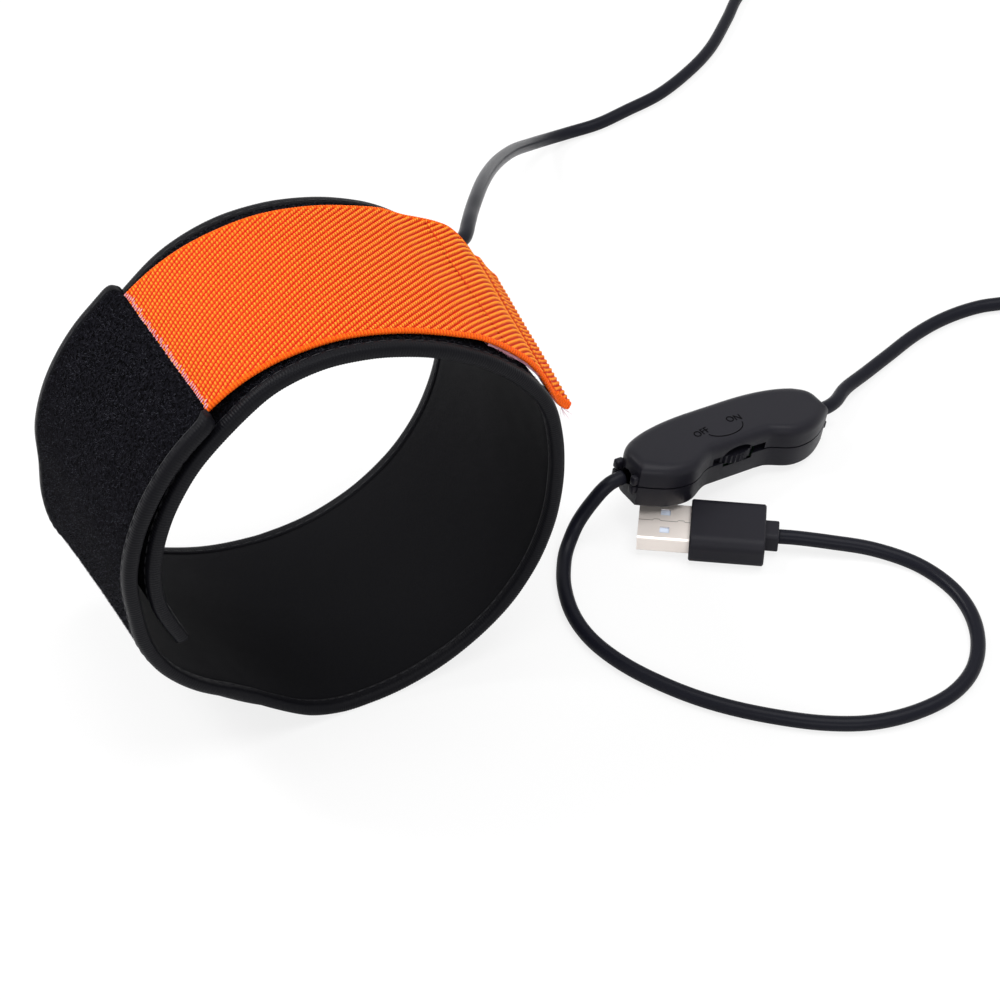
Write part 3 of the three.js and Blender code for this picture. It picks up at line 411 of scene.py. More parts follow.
for name, mat in {
    "tail_binding": satin_mat, "cable_boot": jacket_mat,
    "thumbwheel": plastic_mat, "potentiometer": steel_mat, "circuit_board": board_mat,
    "power_transistor": plastic_mat, "capacitor": steel_mat, "case_screw_left": steel_mat,
    "case_screw_right": steel_mat, "plug_shell": nickel_mat, "plug_insulator": insert_mat,
    "plug_contact_1": gilt_mat, "plug_contact_2": gilt_mat, "plug_contact_3": gilt_mat,
    "plug_contact_4": gilt_mat, "plug_grip": grip_mat, "dimmer_base": plastic_mat,
    "dimmer_lid": plastic_mat,
}.items():
    nodes[name].data.materials.clear()
    nodes[name].data.materials.append(mat)
heater_cable.data.materials.append(jacket_mat)
plug_cable.data.materials.append(jacket_mat)


# The strip's section, as in the part's source
STRIP_HALF = 29
STRIP_THICKNESS = 2.8
OUTER = STRIP_THICKNESS / 2
first_turn = Path([
    (-41, 40), (-43.5, 51), (-43.2, 62), (-39.8, 73), (-33.4, 83.2), (-24.8, 91.6), (-15.4, 98.2),
    (-5, 100.9), (6, 100.3), (16.4, 97.3), (25.4, 92.9), (33.2, 87.3), (40, 80.1), (44.8, 71.8),
    (47, 61.8), (47.4, 50), (45.6, 37), (41, 25), (33.4, 14.6), (23.6, 7.2), (13, 2.9),
])
lap = []
for offset, stand_off in enumerate((2.4, 2.2, 1.9, 1.6, 1.3)):
    arc = first_turn.knot(1 + offset)
    lap.append(first_turn.at(arc) + first_turn.normal(arc) * (STRIP_THICKNESS + stand_off))
strip = Path(np.vstack([first_turn.points[::first_turn.per], [
    (3, 1.4), (-6, 1.9), (-15.5, 4.7), (-25.6, 10.8), (-35.2, 18.2), (-41.8, 24.8), (-46.2, 32.4),
    (-48.4, 41)], lap]))
seam_arc = first_turn.knot(5)


LEAN = 0.046
BELLY = 5.6


def leaned(P):
    """The loop rises towards its front edge, and its lower left bellies out towards the rear"""
    x, y, z = P[..., 0], P[..., 1], P[..., 2]
    across = y / STRIP_HALF
    share = np.clip((38 - x) / 65, 0, 1.1)
    low = np.clip((60 - z) / 40, 0, 1) ** 2
    left = np.clip((-5 - x) / 25, 0, 1)
    return np.stack([x - BELLY * low * left * across, y, z * (1 - LEAN * share * across)], -1)


def strip_point(arc, y, depth):
    """A point of the strip from its arc, its place across and its depth, never below the floor"""
    arc, y, depth = np.broadcast_arrays(np.asarray(arc, float), y, depth)
    place = strip.at(arc)
    out = strip.normal(arc)
    flat = place[..., 1] < OUTER
    place[..., 1] = np.where(flat, OUTER, place[..., 1])
    out = np.where(flat[..., None], np.array([0.0, -1.0]), out)
    q = place + out * depth[..., None]
    q[..., 1] = np.maximum(q[..., 1], 0.0)
    return leaned(np.stack([q[..., 0], y, q[..., 1]], -1))


def wobble(arc, y, size, seed):
    """Slow uneven swell over the cloth"""
    local = np.random.default_rng(seed)
    total = 0
    for _ in range(6):
        wave = 2 * math.pi / size * local.uniform(0.5, 1.3)
        turn = local.uniform(0, 2 * math.pi)
        total = total + np.sin(wave * (arc * math.cos(turn) + y * math.sin(turn)) + local.uniform(0, 6.3))
    return total / 6


CORNER = 3.2


def corner_inset(arc):
    """How far the strip's end corners are rounded off, at an arc"""
    t = np.clip(arc - (strip.length - CORNER), 0, CORNER * 0.995)
    return CORNER - np.sqrt(CORNER ** 2 - t ** 2)


def cloth_face(name, depth, half, mat, roll, step=0.9):
    arcs = np.linspace(0.5, strip.length, int(strip.length / step))
    ys = np.linspace(-half, half, int(2 * half / step))
    A, Y = np.meshgrid(arcs, ys, indexing="ij")
    edge = smoothstep(half - 0.5, half, np.abs(Y))
    end = smoothstep(strip.length - 0.9, strip.length, A)
    D = depth - np.sign(depth) * (0.35 * edge + roll * end ** 2) + 0.07 * wobble(A, Y, 9, 3)
    P = strip_point(A, Y * (1 - corner_inset(A) / half), D)
    return mesh_object(name, P.reshape(-1, 3), grid_faces(len(arcs), len(ys)), [mat])


def hidden_layer(name, half, inner, outer, mat):
    """A closed slab inside the strip"""
    arcs = np.linspace(2, strip.length - 4, 180)
    ys = np.array([-half, 0, half, half, 0, -half])
    depths = np.array([outer, outer, outer, inner, inner, inner])
    A, Y = np.meshgrid(arcs, ys, indexing="ij")
    P = strip_point(A, Y, np.broadcast_to(depths, A.shape))
    faces = np.vstack([grid_faces(len(arcs), 6, wrap=True), ring_caps(len(arcs), 6)])
    return mesh_object(name, P.reshape(-1, 3), faces, [mat], smooth=False)


foam_piece = hidden_layer("foam_layer", half=25, inner=-0.3, outer=0.5, mat=foam_mat)
heater_piece = hidden_layer("heater_layer", half=23, inner=-0.7, outer=-0.5, mat=heater_mat)
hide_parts("foam_pad")
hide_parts("heater_film")


FACE_HALF = 26.6
pile_piece = cloth_face("pile_cloth", OUTER - 0.05, FACE_HALF, pile_mat, 0.9)
lining_piece = cloth_face("lining_cloth", -OUTER + 0.05, FACE_HALF, lining_mat, 0.4, step=1.3)
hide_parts("pile_fabric")
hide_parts("lining_fabric")


# The pile's fuzz: short fibres, each one slanted triangle
def fibres(name, count, arcs, ys, depth, length, width, mat, seed):
    local = np.random.default_rng(seed)
    heading = local.uniform(0, 2 * math.pi, count)
    reach = local.uniform(0.35, 1, count) * length
    rise = local.uniform(0.15, 0.6, count) * length
    da, dy = reach * np.cos(heading), reach * np.sin(heading)
    side = np.stack([-np.sin(heading), np.cos(heading)], -1) * width / 2
    corner = [
        strip_point(arcs - side[:, 0], ys - side[:, 1], depth),
        strip_point(arcs + side[:, 0], ys + side[:, 1], depth),
        strip_point(np.minimum(arcs + da, strip.length), ys + dy, depth + rise),
    ]
    points = np.stack(corner, 1).reshape(-1, 3)
    return mesh_object(name, points, np.arange(3 * count).reshape(-1, 3), [mat], smooth=False)


FIBRES_TRIED = 150000
FIBRE_LENGTH = 0.75
FIBRE_WIDTH = 0.1
FIBRE_LIMIT_Y = 26.4
COVERED_LENGTH = 88
COVERED_HALF = 22
fibres_from = first_turn.knot(4)
fuzz_arcs = rng.uniform(fibres_from, strip.length - 0.3, FIBRES_TRIED)
fuzz_ys = rng.uniform(-FIBRE_LIMIT_Y, FIBRE_LIMIT_Y, FIBRES_TRIED)
under_strap = (fuzz_arcs > seam_arc) & (fuzz_arcs < seam_arc + COVERED_LENGTH)
under_strap &= np.abs(fuzz_ys + 1) < COVERED_HALF
under_lap = fuzz_arcs < seam_arc - 1
shown = ~(under_strap | under_lap)
fuzz = fibres("pile_fuzz", int(shown.sum()), fuzz_arcs[shown], fuzz_ys[shown], OUTER - 0.1,
              FIBRE_LENGTH, FIBRE_WIDTH, fuzz_mat, 11)


# Ribbed satin tape folded over the two edges
TAPE_RIB = 0.62
TAPE_RIB_HEIGHT = 0.035
TAPE_SWELL = 0.08
tape_profile = np.array([
    (26.15, 1.25), (26.3, 1.5), (26.8, 1.6), (27.5, 1.58), (28.2, 1.48), (28.7, 1.2), (28.97, 0.7),
    (29.04, 0), (28.97, -0.7), (28.7, -1.2), (28.2, -1.45), (27.5, -1.5), (26.8, -1.5),
    (26.3, -1.45), (26.15, -1.25)])
tape_out = np.gradient(tape_profile, axis=0)
tape_out = np.stack([-tape_out[:, 1], tape_out[:, 0]], -1)
tape_out /= np.linalg.norm(tape_out, axis=1, keepdims=True)


def satin_tape(name, side):
    arcs = np.arange(0, strip.length, TAPE_RIB / 4)
    ribs = TAPE_RIB_HEIGHT * np.cos(2 * math.pi * arcs / TAPE_RIB)[:, None, None] * tape_out[None]
    profile = tape_profile[None] + ribs
    end = smoothstep(strip.length - 0.9, strip.length - 0.1, arcs)[:, None]
    swell = TAPE_SWELL * wobble(arcs, np.zeros(len(arcs)), 14, 5 + side)[:, None]
    Y = side * (profile[..., 0] - corner_inset(arcs)[:, None])
    D = (profile[..., 1] + swell * np.sign(profile[..., 1])) * (1 - 0.75 * end)
    P = strip_point(np.broadcast_to(arcs[:, None], Y.shape), Y, D)
    return mesh_object(name, P.reshape(-1, 3), grid_faces(len(arcs), len(tape_profile)), [satin_mat])


near_tape = satin_tape("satin_tape_near", -1)
far_tape = satin_tape("satin_tape_far", 1)
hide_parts("edge_binding_near")
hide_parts("edge_binding_far")


# Stitches: small raised beads along a line
def bead_shape(rows=7, columns=6):
    t = np.linspace(0, 1, rows)
    along = t - 0.5
    across = np.sin(math.pi * np.clip(t, 0.02, 0.98)) ** 0.6
    around = np.linspace(0, 2 * math.pi, columns, endpoint=False)
    shape = np.stack([
        np.repeat(along, columns),
        (across[:, None] * np.cos(around)).ravel() / 2,
        (across[:, None] * np.sin(around)).ravel() / 2], -1)
    return shape, grid_faces(rows, columns, wrap=True)


def stitches(name, arcs, ys, depth, size, mat, surface, slant=0.0):
    shape, faces = bead_shape()
    long, wide, high = size
    c, s = math.cos(slant), math.sin(slant)
    a = arcs[:, None] + (shape[:, 0] * long * c - shape[:, 1] * wide * s)[None]
    y = ys[:, None] + (shape[:, 0] * long * s + shape[:, 1] * wide * c)[None]
    P = surface(a, y, depth + (shape[:, 2] * high)[None] + 0 * a)
    all_faces = (faces[None] + (np.arange(len(arcs)) * len(shape))[:, None, None]).reshape(-1, 4)
    return mesh_object(name, P.reshape(-1, 3), all_faces, [mat])


TAPE_STITCH = (2.0, 0.34, 0.3)
STITCH_PITCH = 2.7
STITCH_LINE_Y = 26.75
stitch_arcs = np.arange(2, strip.length - 1.5, STITCH_PITCH)
seam_ys = np.repeat([-STITCH_LINE_Y, STITCH_LINE_Y], len(stitch_arcs))
outer_stitches = stitches("tape_stitches", np.tile(stitch_arcs, 2), seam_ys, OUTER + 0.2, TAPE_STITCH,
                          thread_mat, strip_point)
inner_stitches = stitches("tape_stitches_inner", np.tile(stitch_arcs, 2), seam_ys, -OUTER - 0.1,
                          TAPE_STITCH, thread_mat, strip_point)


# Elastic strap
STRAP_MIDDLE_Y = -1
STRAP_HALF = 24
STRAP_THICKNESS = 1.1
STRAP_ROOT = 9
STRAP_REST = OUTER + 0.3 + STRAP_THICKNESS / 2
HOOK_REST = STRAP_REST + 0.9
FREE_LENGTH = 91
HOOK_START = 60.5
HOOK_LENGTH = 26


def above_first(arc, height):
    return first_turn.at(seam_arc + arc) + first_turn.normal(seam_arc + arc) * height


def inside_end(back):
    return strip.at(strip.length - back) + strip.normal(strip.length - back) * -0.15


strap = Path([
    inside_end(STRAP_ROOT), inside_end(STRAP_ROOT / 2), inside_end(0), above_first(8, STRAP_REST + 0.9),
    above_first(16, STRAP_REST + 0.2), above_first(28, STRAP_REST), above_first(40, STRAP_REST),
    above_first(HOOK_START - 8, STRAP_REST + 0.3), above_first(HOOK_START, HOOK_REST),
    above_first(HOOK_START + HOOK_LENGTH / 2, HOOK_REST), above_first(FREE_LENGTH - 3, HOOK_REST + 0.2),
    above_first(FREE_LENGTH, HOOK_REST + 2.2),
])
flare = Path([(30, 0, 0), (36, 0, 0), (41.4, 2, 1), (44.4, 2.9, 2), (46.9, 3.8, 2), (51.5, 5.6, -1.6),
              (55, 6.6, -4)]).points


def flared(P):
    """The strap's far edge swings out and then down towards its tip"""
    x, y, z = P[..., 0], P[..., 1], P[..., 2]
    share = (y - STRAP_MIDDLE_Y) / (2 * STRAP_HALF) + 0.5
    out = share * np.interp(x, flare[:, 0], flare[:, 1])
    up = share * np.interp(x, flare[:, 0], flare[:, 2])
    return np.stack([x + out, y, z + up], -1)


def strap_point(arc, y, depth):
    """A point of the strap from its arc, its place across and its depth"""
    arc, y, depth = np.broadcast_arrays(np.asarray(arc, float), y, depth)
    q = strap.at(arc) + strap.normal(arc) * depth[..., None]
    return leaned(flared(np.stack([q[..., 0], y, q[..., 1]], -1)))


RIB_CLIMB_ROOT = 27
RIB_CLIMB_FAR = 37


def slant_shift(arc):
    """How far the ribs have climbed across the strap at an arc, steeper further from the root"""
    knots = np.linspace(0, strap.length, 200)
    steeper = (RIB_CLIMB_FAR - RIB_CLIMB_ROOT) * smoothstep(10, 55, knots)
    slope = np.tan(np.radians(RIB_CLIMB_ROOT + steeper))
    climbed = np.concatenate([[0], np.cumsum((slope[1:] + slope[:-1]) / 2 * np.diff(knots))])
    return np.interp(arc, knots, climbed)


FOLD_LENGTH = 7
FOLD_START = strap.length - FOLD_LENGTH
STITCH_ARC = 80.5
STITCH_SLANT = 0.055
STRAP_ROWS = 540
TOP_COLUMNS = 150
EDGE_COLUMNS = 9
UNDER_COLUMNS = 8
EDGE_ROLL = 1.0
EDGE_LIP = 0.15
EDGE_HALF_THICKNESS = 0.62
EDGE_BEAD = 0.045
UNDERSIDE = -0.5
GROOVE_HEIGHT = 0.22
RIB_HEIGHT = 0.46
STITCH_DENT = 0.22
STITCH_DENT_WIDTH = 0.35
FOLD_RISE = 0.75
TIP_CLOSE = 1.3


def strap_ring():
    """One ring round the strap: place across, level from 1 on top to -1 below, and kind of surface"""
    inner_half = STRAP_HALF - EDGE_ROLL
    turn = np.linspace(0, math.pi, EDGE_COLUMNS)
    edge = inner_half + EDGE_LIP + (EDGE_ROLL - EDGE_LIP) * np.sin(turn)
    top = np.linspace(-inner_half, inner_half, TOP_COLUMNS)
    under = np.linspace(inner_half, -inner_half, UNDER_COLUMNS)
    across = np.concatenate([top, edge, under, -edge])
    level = np.concatenate([np.ones(TOP_COLUMNS), np.cos(turn), -np.ones(UNDER_COLUMNS), -np.cos(turn)])
    kind = np.repeat([0, 1, 2, 1], [TOP_COLUMNS, EDGE_COLUMNS, UNDER_COLUMNS, EDGE_COLUMNS])
    return across, level, kind


def woven_strap():
    arcs = np.linspace(STRAP_ROOT - 1.5, strap.length, STRAP_ROWS)
    across, level, kind = strap_ring()
    A, V = np.meshgrid(arcs, across, indexing="ij")
    L = np.broadcast_to(level, A.shape)
    K = np.broadcast_to(kind, A.shape)
    rib_phase = (V - slant_shift(A)) / RIB_SPACING
    bead_phase = A / BEAD_SPACING
    rib = 0.5 + 0.5 * np.cos(2 * math.pi * rib_phase)
    bead = 0.5 + 0.5 * np.cos(2 * math.pi * bead_phase)
    raised = GROOVE_HEIGHT + RIB_HEIGHT * rib ** 0.7 * (0.55 + 0.45 * bead)
    line = np.exp(-((A - STITCH_ARC - STITCH_SLANT * V) / STITCH_DENT_WIDTH) ** 2)
    raised = raised - STITCH_DENT * line
    fold = FOLD_RISE * smoothstep(FOLD_START - 0.4, FOLD_START + 0.6, A)
    edge_size = EDGE_HALF_THICKNESS + EDGE_BEAD * np.cos(2 * math.pi * bead_phase)
    D = np.where(K == 0, raised, np.where(K == 2, UNDERSIDE, L * edge_size))
    D = np.where(L > 0, D + fold * L, D)
    split = np.exp(-((L - 0.25) / 0.18) ** 2) * (K == 1) * smoothstep(FOLD_START, FOLD_START + 1, A)
    V = V - np.sign(V) * 0.45 * split
    close = np.clip((A - (strap.length - TIP_CLOSE)) / TIP_CLOSE, 0, 1)
    middle = 0.35 * smoothstep(FOLD_START, FOLD_START + 1, A)
    D = middle + (D - middle) * np.sqrt(np.clip(1 - close ** 2, 0.0009, 1))
    squeeze = 1 - 0.035 * close ** 3
    P = strap_point(A, STRAP_MIDDLE_Y + V * squeeze, D + 0.12 * wobble(A, V, 22, 9))
    uv = np.stack([bead_phase, rib_phase], -1).reshape(-1, 2)
    faces = np.vstack([grid_faces(len(arcs), len(across), wrap=True), ring_caps(len(arcs), len(across))])
    corner_kind = K.reshape(-1)[faces]
    slots = (corner_kind.max(1) == 1).astype(int)
    return mesh_object("elastic_strap_woven", P.reshape(-1, 3), faces, [elastic_mat, selvedge_mat], uv=uv,
                       uv_name="weave", slots=slots)


strap_piece = woven_strap()
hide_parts("elastic_strap")


# Hook tape under the strap's end, with its pale edge and loose ends
HOOK_HALF = 23.4
HOOK_HALF_THICKNESS = 0.3
HOOK_SIDES = 20


def hook_piece():
    arcs = np.linspace(HOOK_START + 1, HOOK_START + HOOK_LENGTH, 60)
    around = np.linspace(0, 2 * math.pi, HOOK_SIDES, endpoint=False)
    across = STRAP_MIDDLE_Y + HOOK_HALF * np.sign(np.cos(around)) * np.abs(np.cos(around)) ** 0.12
    level = HOOK_HALF_THICKNESS * np.sign(np.sin(around)) * np.abs(np.sin(around)) ** 0.3
    A, Y = np.meshgrid(arcs, across, indexing="ij")
    D = STRAP_REST - 0.05 + np.broadcast_to(level, A.shape)
    q = above_first(A, D[..., None])
    rough = 0.12 * rng.standard_normal(A.shape)
    P = leaned(flared(np.stack([q[..., 0], Y + rough, q[..., 1]], -1)))
    faces = grid_faces(len(arcs), HOOK_SIDES, wrap=True)
    return mesh_object("hook_tape", P.reshape(-1, 3), faces, [hook_mat])


hook = hook_piece()
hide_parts("hook_patch")


def loose_threads(name, roots, tips, width, mat):
    """Thin three-sided strands, each bent once"""
    count = len(roots)
    middle = (roots + tips) / 2 + rng.normal(0, 0.12, roots.shape)
    spread = rng.normal(0, 1, roots.shape)
    spread *= width / np.linalg.norm(spread, axis=1, keepdims=True)
    points = np.stack([roots - spread, roots + spread, middle - spread, middle + spread, tips], 1)
    base = (np.arange(count) * 5)[:, None]
    faces = np.concatenate([base + [0, 1, 3], base + [0, 3, 2], base + [2, 3, 4]])
    return mesh_object(name, points.reshape(-1, 3), faces, [mat], smooth=False)


FRAYED = 260
FRAY_LEAN = (0, -0.75, -0.2)
fray_arcs = rng.uniform(HOOK_START + 3, HOOK_START + HOOK_LENGTH + 2, FRAYED)
fray_place = above_first(fray_arcs, STRAP_REST + 0.1)
fray_y = np.full(FRAYED, STRAP_MIDDLE_Y - 23.2)
fray_roots = leaned(flared(np.stack([fray_place[:, 0], fray_y, fray_place[:, 1]], -1)))
fray_tips = fray_roots + rng.normal(0, 0.3, (FRAYED, 3)) + FRAY_LEAN
fray = loose_threads("hook_fray", fray_roots, fray_tips, 0.035, hook_mat)

tip_root = strap_point(np.full(9, strap.length - 2.2), np.full(9, STRAP_MIDDLE_Y - 23.3), np.full(9, -0.7))
tip_ends = tip_root + np.array([(1.6, -1.6, -3.4), (0.6, -1.2, -3.0), (2.4, -0.8, -2.6), (0.2, -1.9, -1.8),
                                (1.1, -0.6, -3.9), (-0.6, -1.5, -2.0), (1.9, -1.9, -1.4), (0.4, -0.5, -2.7),
                                (2.9, -0.3, -3.2)])
strays = loose_threads("tip_threads", tip_root, tip_ends, 0.05, hook_mat)

# Where the strap comes out of the strip's end: pale tacking threads
tack_ys = np.arange(-24.4, 22.4, 0.8)
tack_arcs = STRAP_ROOT + 0.35 + 0.25 * rng.standard_normal(len(tack_ys))
tacks = stitches("tack_threads", tack_arcs, tack_ys, 0.62, (1.1, 0.3, 0.3), hook_mat, strap_point,
                 slant=0.35)

cross_ys = np.arange(STRAP_MIDDLE_Y - 22.5, STRAP_MIDDLE_Y + 22.6, 1.5)
cross_mat = material("cross_thread", (0.5, 0.015, 0.001), 0.6, specular=0.1)
cross_arcs = STITCH_ARC + STITCH_SLANT * (cross_ys - STRAP_MIDDLE_Y)
cross_stitches = stitches("cross_stitches", cross_arcs, cross_ys, 0.34, (1.25, 0.28, 0.26), cross_mat,
                          strap_point, slant=math.radians(87))


# Coil tie: a soft band round the coil
def tie_band():
    outline = Path([(13.4, 4.6), (14.1, 8.2), (17, 9.3), (20.5, 9.5), (24, 9.3), (27, 8.2), (27.7, 4.6),
                    (27, 1.1), (24, 0.35), (20.5, 0.3), (17, 0.35), (14.1, 1.1), (13.4, 4.6)], per=10)
    outline = outline.points[:-1]
    centre = np.array([20.5, 4.7])
    ys = np.array([-4, -3.9, 0, 3.9, 4, 4, 0, -4])
    shrink = np.array([0.99, 1, 1.01, 1, 0.99, 0.95, 0.95, 0.95])
    ring = centre + (outline[:, None] - centre) * shrink[None, :, None]
    angle = math.radians(200)
    r, y, z = ring[..., 0], np.broadcast_to(ys, ring.shape[:2]), np.maximum(ring[..., 1], 0.02)
    P = np.stack([COIL_CENTRE[0] + r * math.cos(angle) - y * math.sin(angle),
                  COIL_CENTRE[1] + r * math.sin(angle) + y * math.cos(angle), z], -1)
    P = np.concatenate([P, P[:1]])
    return mesh_object("coil_tie_band", P.reshape(-1, 3), grid_faces(len(P), len(ys), wrap=True), [pile_mat])


tie = tie_band()
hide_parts("coil_tie")


# Dimmer: the shells with finer rounding than the part's own solids
DIMMER_PLACE = (106.8, -0.5, 4.45)
dimmer_frame = (Matrix.Translation(DIMMER_PLACE) @ Matrix.Rotation(math.radians(6.8), 4, "Z")
                @ Matrix.Rotation(math.radians(9), 4, "Y"))
dimmer_turn = np.array(dimmer_frame)[:3, :3]
dimmer_move = np.array(dimmer_frame)[:3, 3]
END, END_HALF, FAR, LOBE, RECESS, RECESS_HALF = 29, 4.6, 9.1, -9.2, -6.1, 8.6
PARTING, TOP = 5.8, 11.6


def bezier(p0, p1, p2, p3, count=16):
    t = np.arange(count)[:, None] / count
    p0, p1, p2, p3 = (np.array(p, float) for p in (p0, p1, p2, p3))
    return (1 - t) ** 3 * p0 + 3 * (1 - t) ** 2 * t * p1 + 3 * (1 - t) * t ** 2 * p2 + t ** 3 * p3


def dimmer_outline():
    near_lobe = [
        bezier((-END, -END_HALF), (-25, -7.4), (-22, LOBE), (-17.5, LOBE)),
        bezier((-17.5, LOBE), (-13.5, LOBE), (-12, RECESS - 0.7), (-RECESS_HALF, RECESS)),
    ]
    far_side = [
        np.array([(END, -END_HALF), (END, -2.0)]),
        bezier((END, 0.4), (END, 3.0), (27.6, 4.6), (25, 6)),
        bezier((25, 6), (20, 8.2), (13, FAR), (5, FAR)),
        np.linspace((5, FAR), (-5, FAR), 6, endpoint=False),
    ]
    mirrored = [(part * (-1, 1))[::-1] for part in far_side[2::-1]]
    mirrored_lobe = [(part * (-1, 1))[::-1] for part in near_lobe[::-1]]
    middle = np.linspace((-RECESS_HALF, RECESS), (RECESS_HALF, RECESS), 8, endpoint=False)
    outline = np.vstack([*far_side, *mirrored, *near_lobe, middle, *mirrored_lobe])
    apart = np.linalg.norm(outline - np.roll(outline, 1, 0), axis=1) > 0.02
    return outline[apart]


def inset(outline, amount):
    """Draws a closed outline in by an amount, evenly enough that it never crosses itself"""
    x, y = outline[:, 0], outline[:, 1]
    return np.stack([x - amount * (x / END) ** 3, y - amount * np.clip(y / 5, -1, 1)], -1)


def shell_solid(name, levels):
    """Closed solid from (inset, z) levels of the dimmer's outline, in the dimmer's own millimetres"""
    outline = dimmer_outline()
    rings = [np.column_stack([inset(outline, amount), np.full(len(outline), z)]) for amount, z in levels]
    count = len(outline)
    points = np.vstack(rings)
    faces = [tuple(f) for f in grid_faces(len(levels), count, wrap=True)]
    faces.append(tuple(range(count))[::-1])
    faces.append(tuple(range((len(levels) - 1) * count, len(levels) * count)))
    mesh = bpy.data.meshes.new(name)
    mesh.from_pydata(points.tolist(), [], faces)
    mesh.validate()
    obj = bpy.data.objects.new(name, mesh)
    bpy.context.scene.collection.objects.link(obj)
    return obj


def box_solid(xs, ys, zs, round_by=0.0):
    bpy.ops.mesh.primitive_cube_add(size=1)
    obj = bpy.context.object
    for v in obj.data.vertices:
        v.co = [lo + (c + 0.5) * (hi - lo) for c, (lo, hi) in zip(v.co, (xs, ys, zs))]
    if round_by:
        bevel = obj.modifiers.new("bevel", "BEVEL")
        bevel.width = round_by
        bevel.segments = 3
        bpy.ops.object.modifier_apply(modifier="bevel")
    return obj


def post_solid(radius, zs, x, y, along_x=False, sides=64):
    bpy.ops.mesh.primitive_cylinder_add(vertices=sides, radius=radius, depth=zs[1] - zs[0])
    obj = bpy.context.object
    turn = Matrix.Rotation(math.pi / 2, 4, "Y") if along_x else Matrix.Identity(4)
    shift = Vector(((zs[0] + zs[1]) / 2, y, x)) if along_x else Vector((x, y, (zs[0] + zs[1]) / 2))
    obj.data.transform(Matrix.Translation(shift) @ turn)
    return obj


def scoop_solid(centre, radii):
    bpy.ops.mesh.primitive_uv_sphere_add(segments=48, ring_count=24, radius=1)
    obj = bpy.context.object
    obj.data.transform(Matrix.Translation(centre) @ Matrix.Diagonal((*radii, 1)))
    return obj


def combine(obj, operation, tools):
    for tool in tools:
        cut = obj.modifiers.new("cut", "BOOLEAN")
        cut.operation = operation
        cut.solver = "EXACT"
        cut.object = tool
        bpy.context.view_layer.objects.active = obj
        bpy.ops.object.modifier_apply(modifier="cut")
        bpy.data.objects.remove(tool)


def smooth_up_to(obj, degrees):
    obj.select_set(True)
    bpy.context.view_layer.objects.active = obj
    bpy.ops.object.shade_smooth_by_angle(angle=math.radians(degrees))
    obj.select_set(False)


def finish_shell(obj, mat, replaced):
    points = np.zeros(len(obj.data.vertices) * 3)
    obj.data.vertices.foreach_get("co", points)
    points = points.reshape(-1, 3) @ dimmer_turn.T + dimmer_move
    obj.data.vertices.foreach_set("co", to_row(points).ravel())
    obj.data.materials.clear()
    obj.data.materials.append(mat)
    obj.data.update()
    smooth_up_to(obj, 32)
    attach(obj, BODY)
    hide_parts(replaced)


def arc_levels(radius, top, steps=7):
    """Levels of a rounded top edge"""
    turn = np.linspace(0, math.pi / 2, steps)
    return [(radius * (1 - math.cos(t)), top - radius + radius * math.sin(t)) for t in turn]


WHEEL_Y = 1.4
TAB_HALF = 0.9
LID_TAB_Y = 3.4
BASE_TAB_Y = 3.3
LID_HOLE_RADIUS = 2.0
BASE_HOLE_RADIUS = 2.05
wheel_room = dict(radius=8.7, zs=(4.5, 8.1), x=0, y=WHEEL_Y)
lid = shell_solid("dimmer_lid_shell", [
    (0.15, PARTING + 0.1), (0.0, PARTING + 0.3), *arc_levels(2.3, TOP), (2.8, TOP)])
combine(lid, "DIFFERENCE", [
    post_solid(**wheel_room),
    box_solid((-7.8, 8.2), (RECESS - 4, RECESS + 2.4), (PARTING - 1, 8.0)),
    scoop_solid((-0.4, RECESS - 0.9, 7.4), (5.2, 1.9, 2.6)),
    post_solid(LID_HOLE_RADIUS, (-35, 35), PARTING, 0, along_x=True, sides=32),
])
combine(lid, "UNION", [
    box_solid((end - 1.3, end + 1.1), (y - TAB_HALF, y + TAB_HALF), (PARTING + 0.2, 8.4), 0.5)
    for end in (-END, END) for y in (-LID_TAB_Y, LID_TAB_Y)])
base = shell_solid("dimmer_base_shell", [(0.6, 0.0), (0.18, 0.18), (0.0, 0.6), (0.0, PARTING - 0.12)])
combine(base, "UNION", [
    box_solid((end - 1.2, end + 1.2), (y - TAB_HALF, y + TAB_HALF), (3.4, PARTING - 0.2), 0.4)
    for end in (-END, END) for y in (-BASE_TAB_Y, BASE_TAB_Y)])
combine(base, "DIFFERENCE", [
    post_solid(**wheel_room),
    post_solid(BASE_HOLE_RADIUS, (-35, 35), PARTING, 0, along_x=True, sides=32),
])
finish_shell(lid, plastic_mat, "dimmer_lid")
finish_shell(base, plastic_mat, "dimmer_base")


def on_lid(points):
    return np.asarray(points, float) @ dimmer_turn.T + dimmer_move


def lid_text(word, x, y, size, turn):
    curve = bpy.data.curves.new("legend_" + word, "FONT")
    curve.body = word
    curve.size = size
    curve.align_x = "CENTER"
    curve.align_y = "CENTER"
    curve.extrude = 0.05
    obj = bpy.data.objects.new("legend_" + word, curve)
    bpy.context.scene.collection.objects.link(obj)
    place = Matrix.Translation((x, y, TOP + 0.02)) @ Matrix.Rotation(math.radians(turn), 4, "Z")
    to_metres = Matrix.Translation((-ORIGIN_X * MM, 0, 0)) @ Matrix.Scale(MM, 4)
    obj.matrix_world = to_metres @ dimmer_frame @ place
    curve.materials.append(legend_mat)
    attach(obj, BODY)


legend_mat = material("legend", (0.0012, 0.0012, 0.0015), 0.6, specular=0.02)
lid_text("OFF", -7.6, 0.2, 2.7, 8)
lid_text("ON", 3.1, 1.2, 2.7, -6)

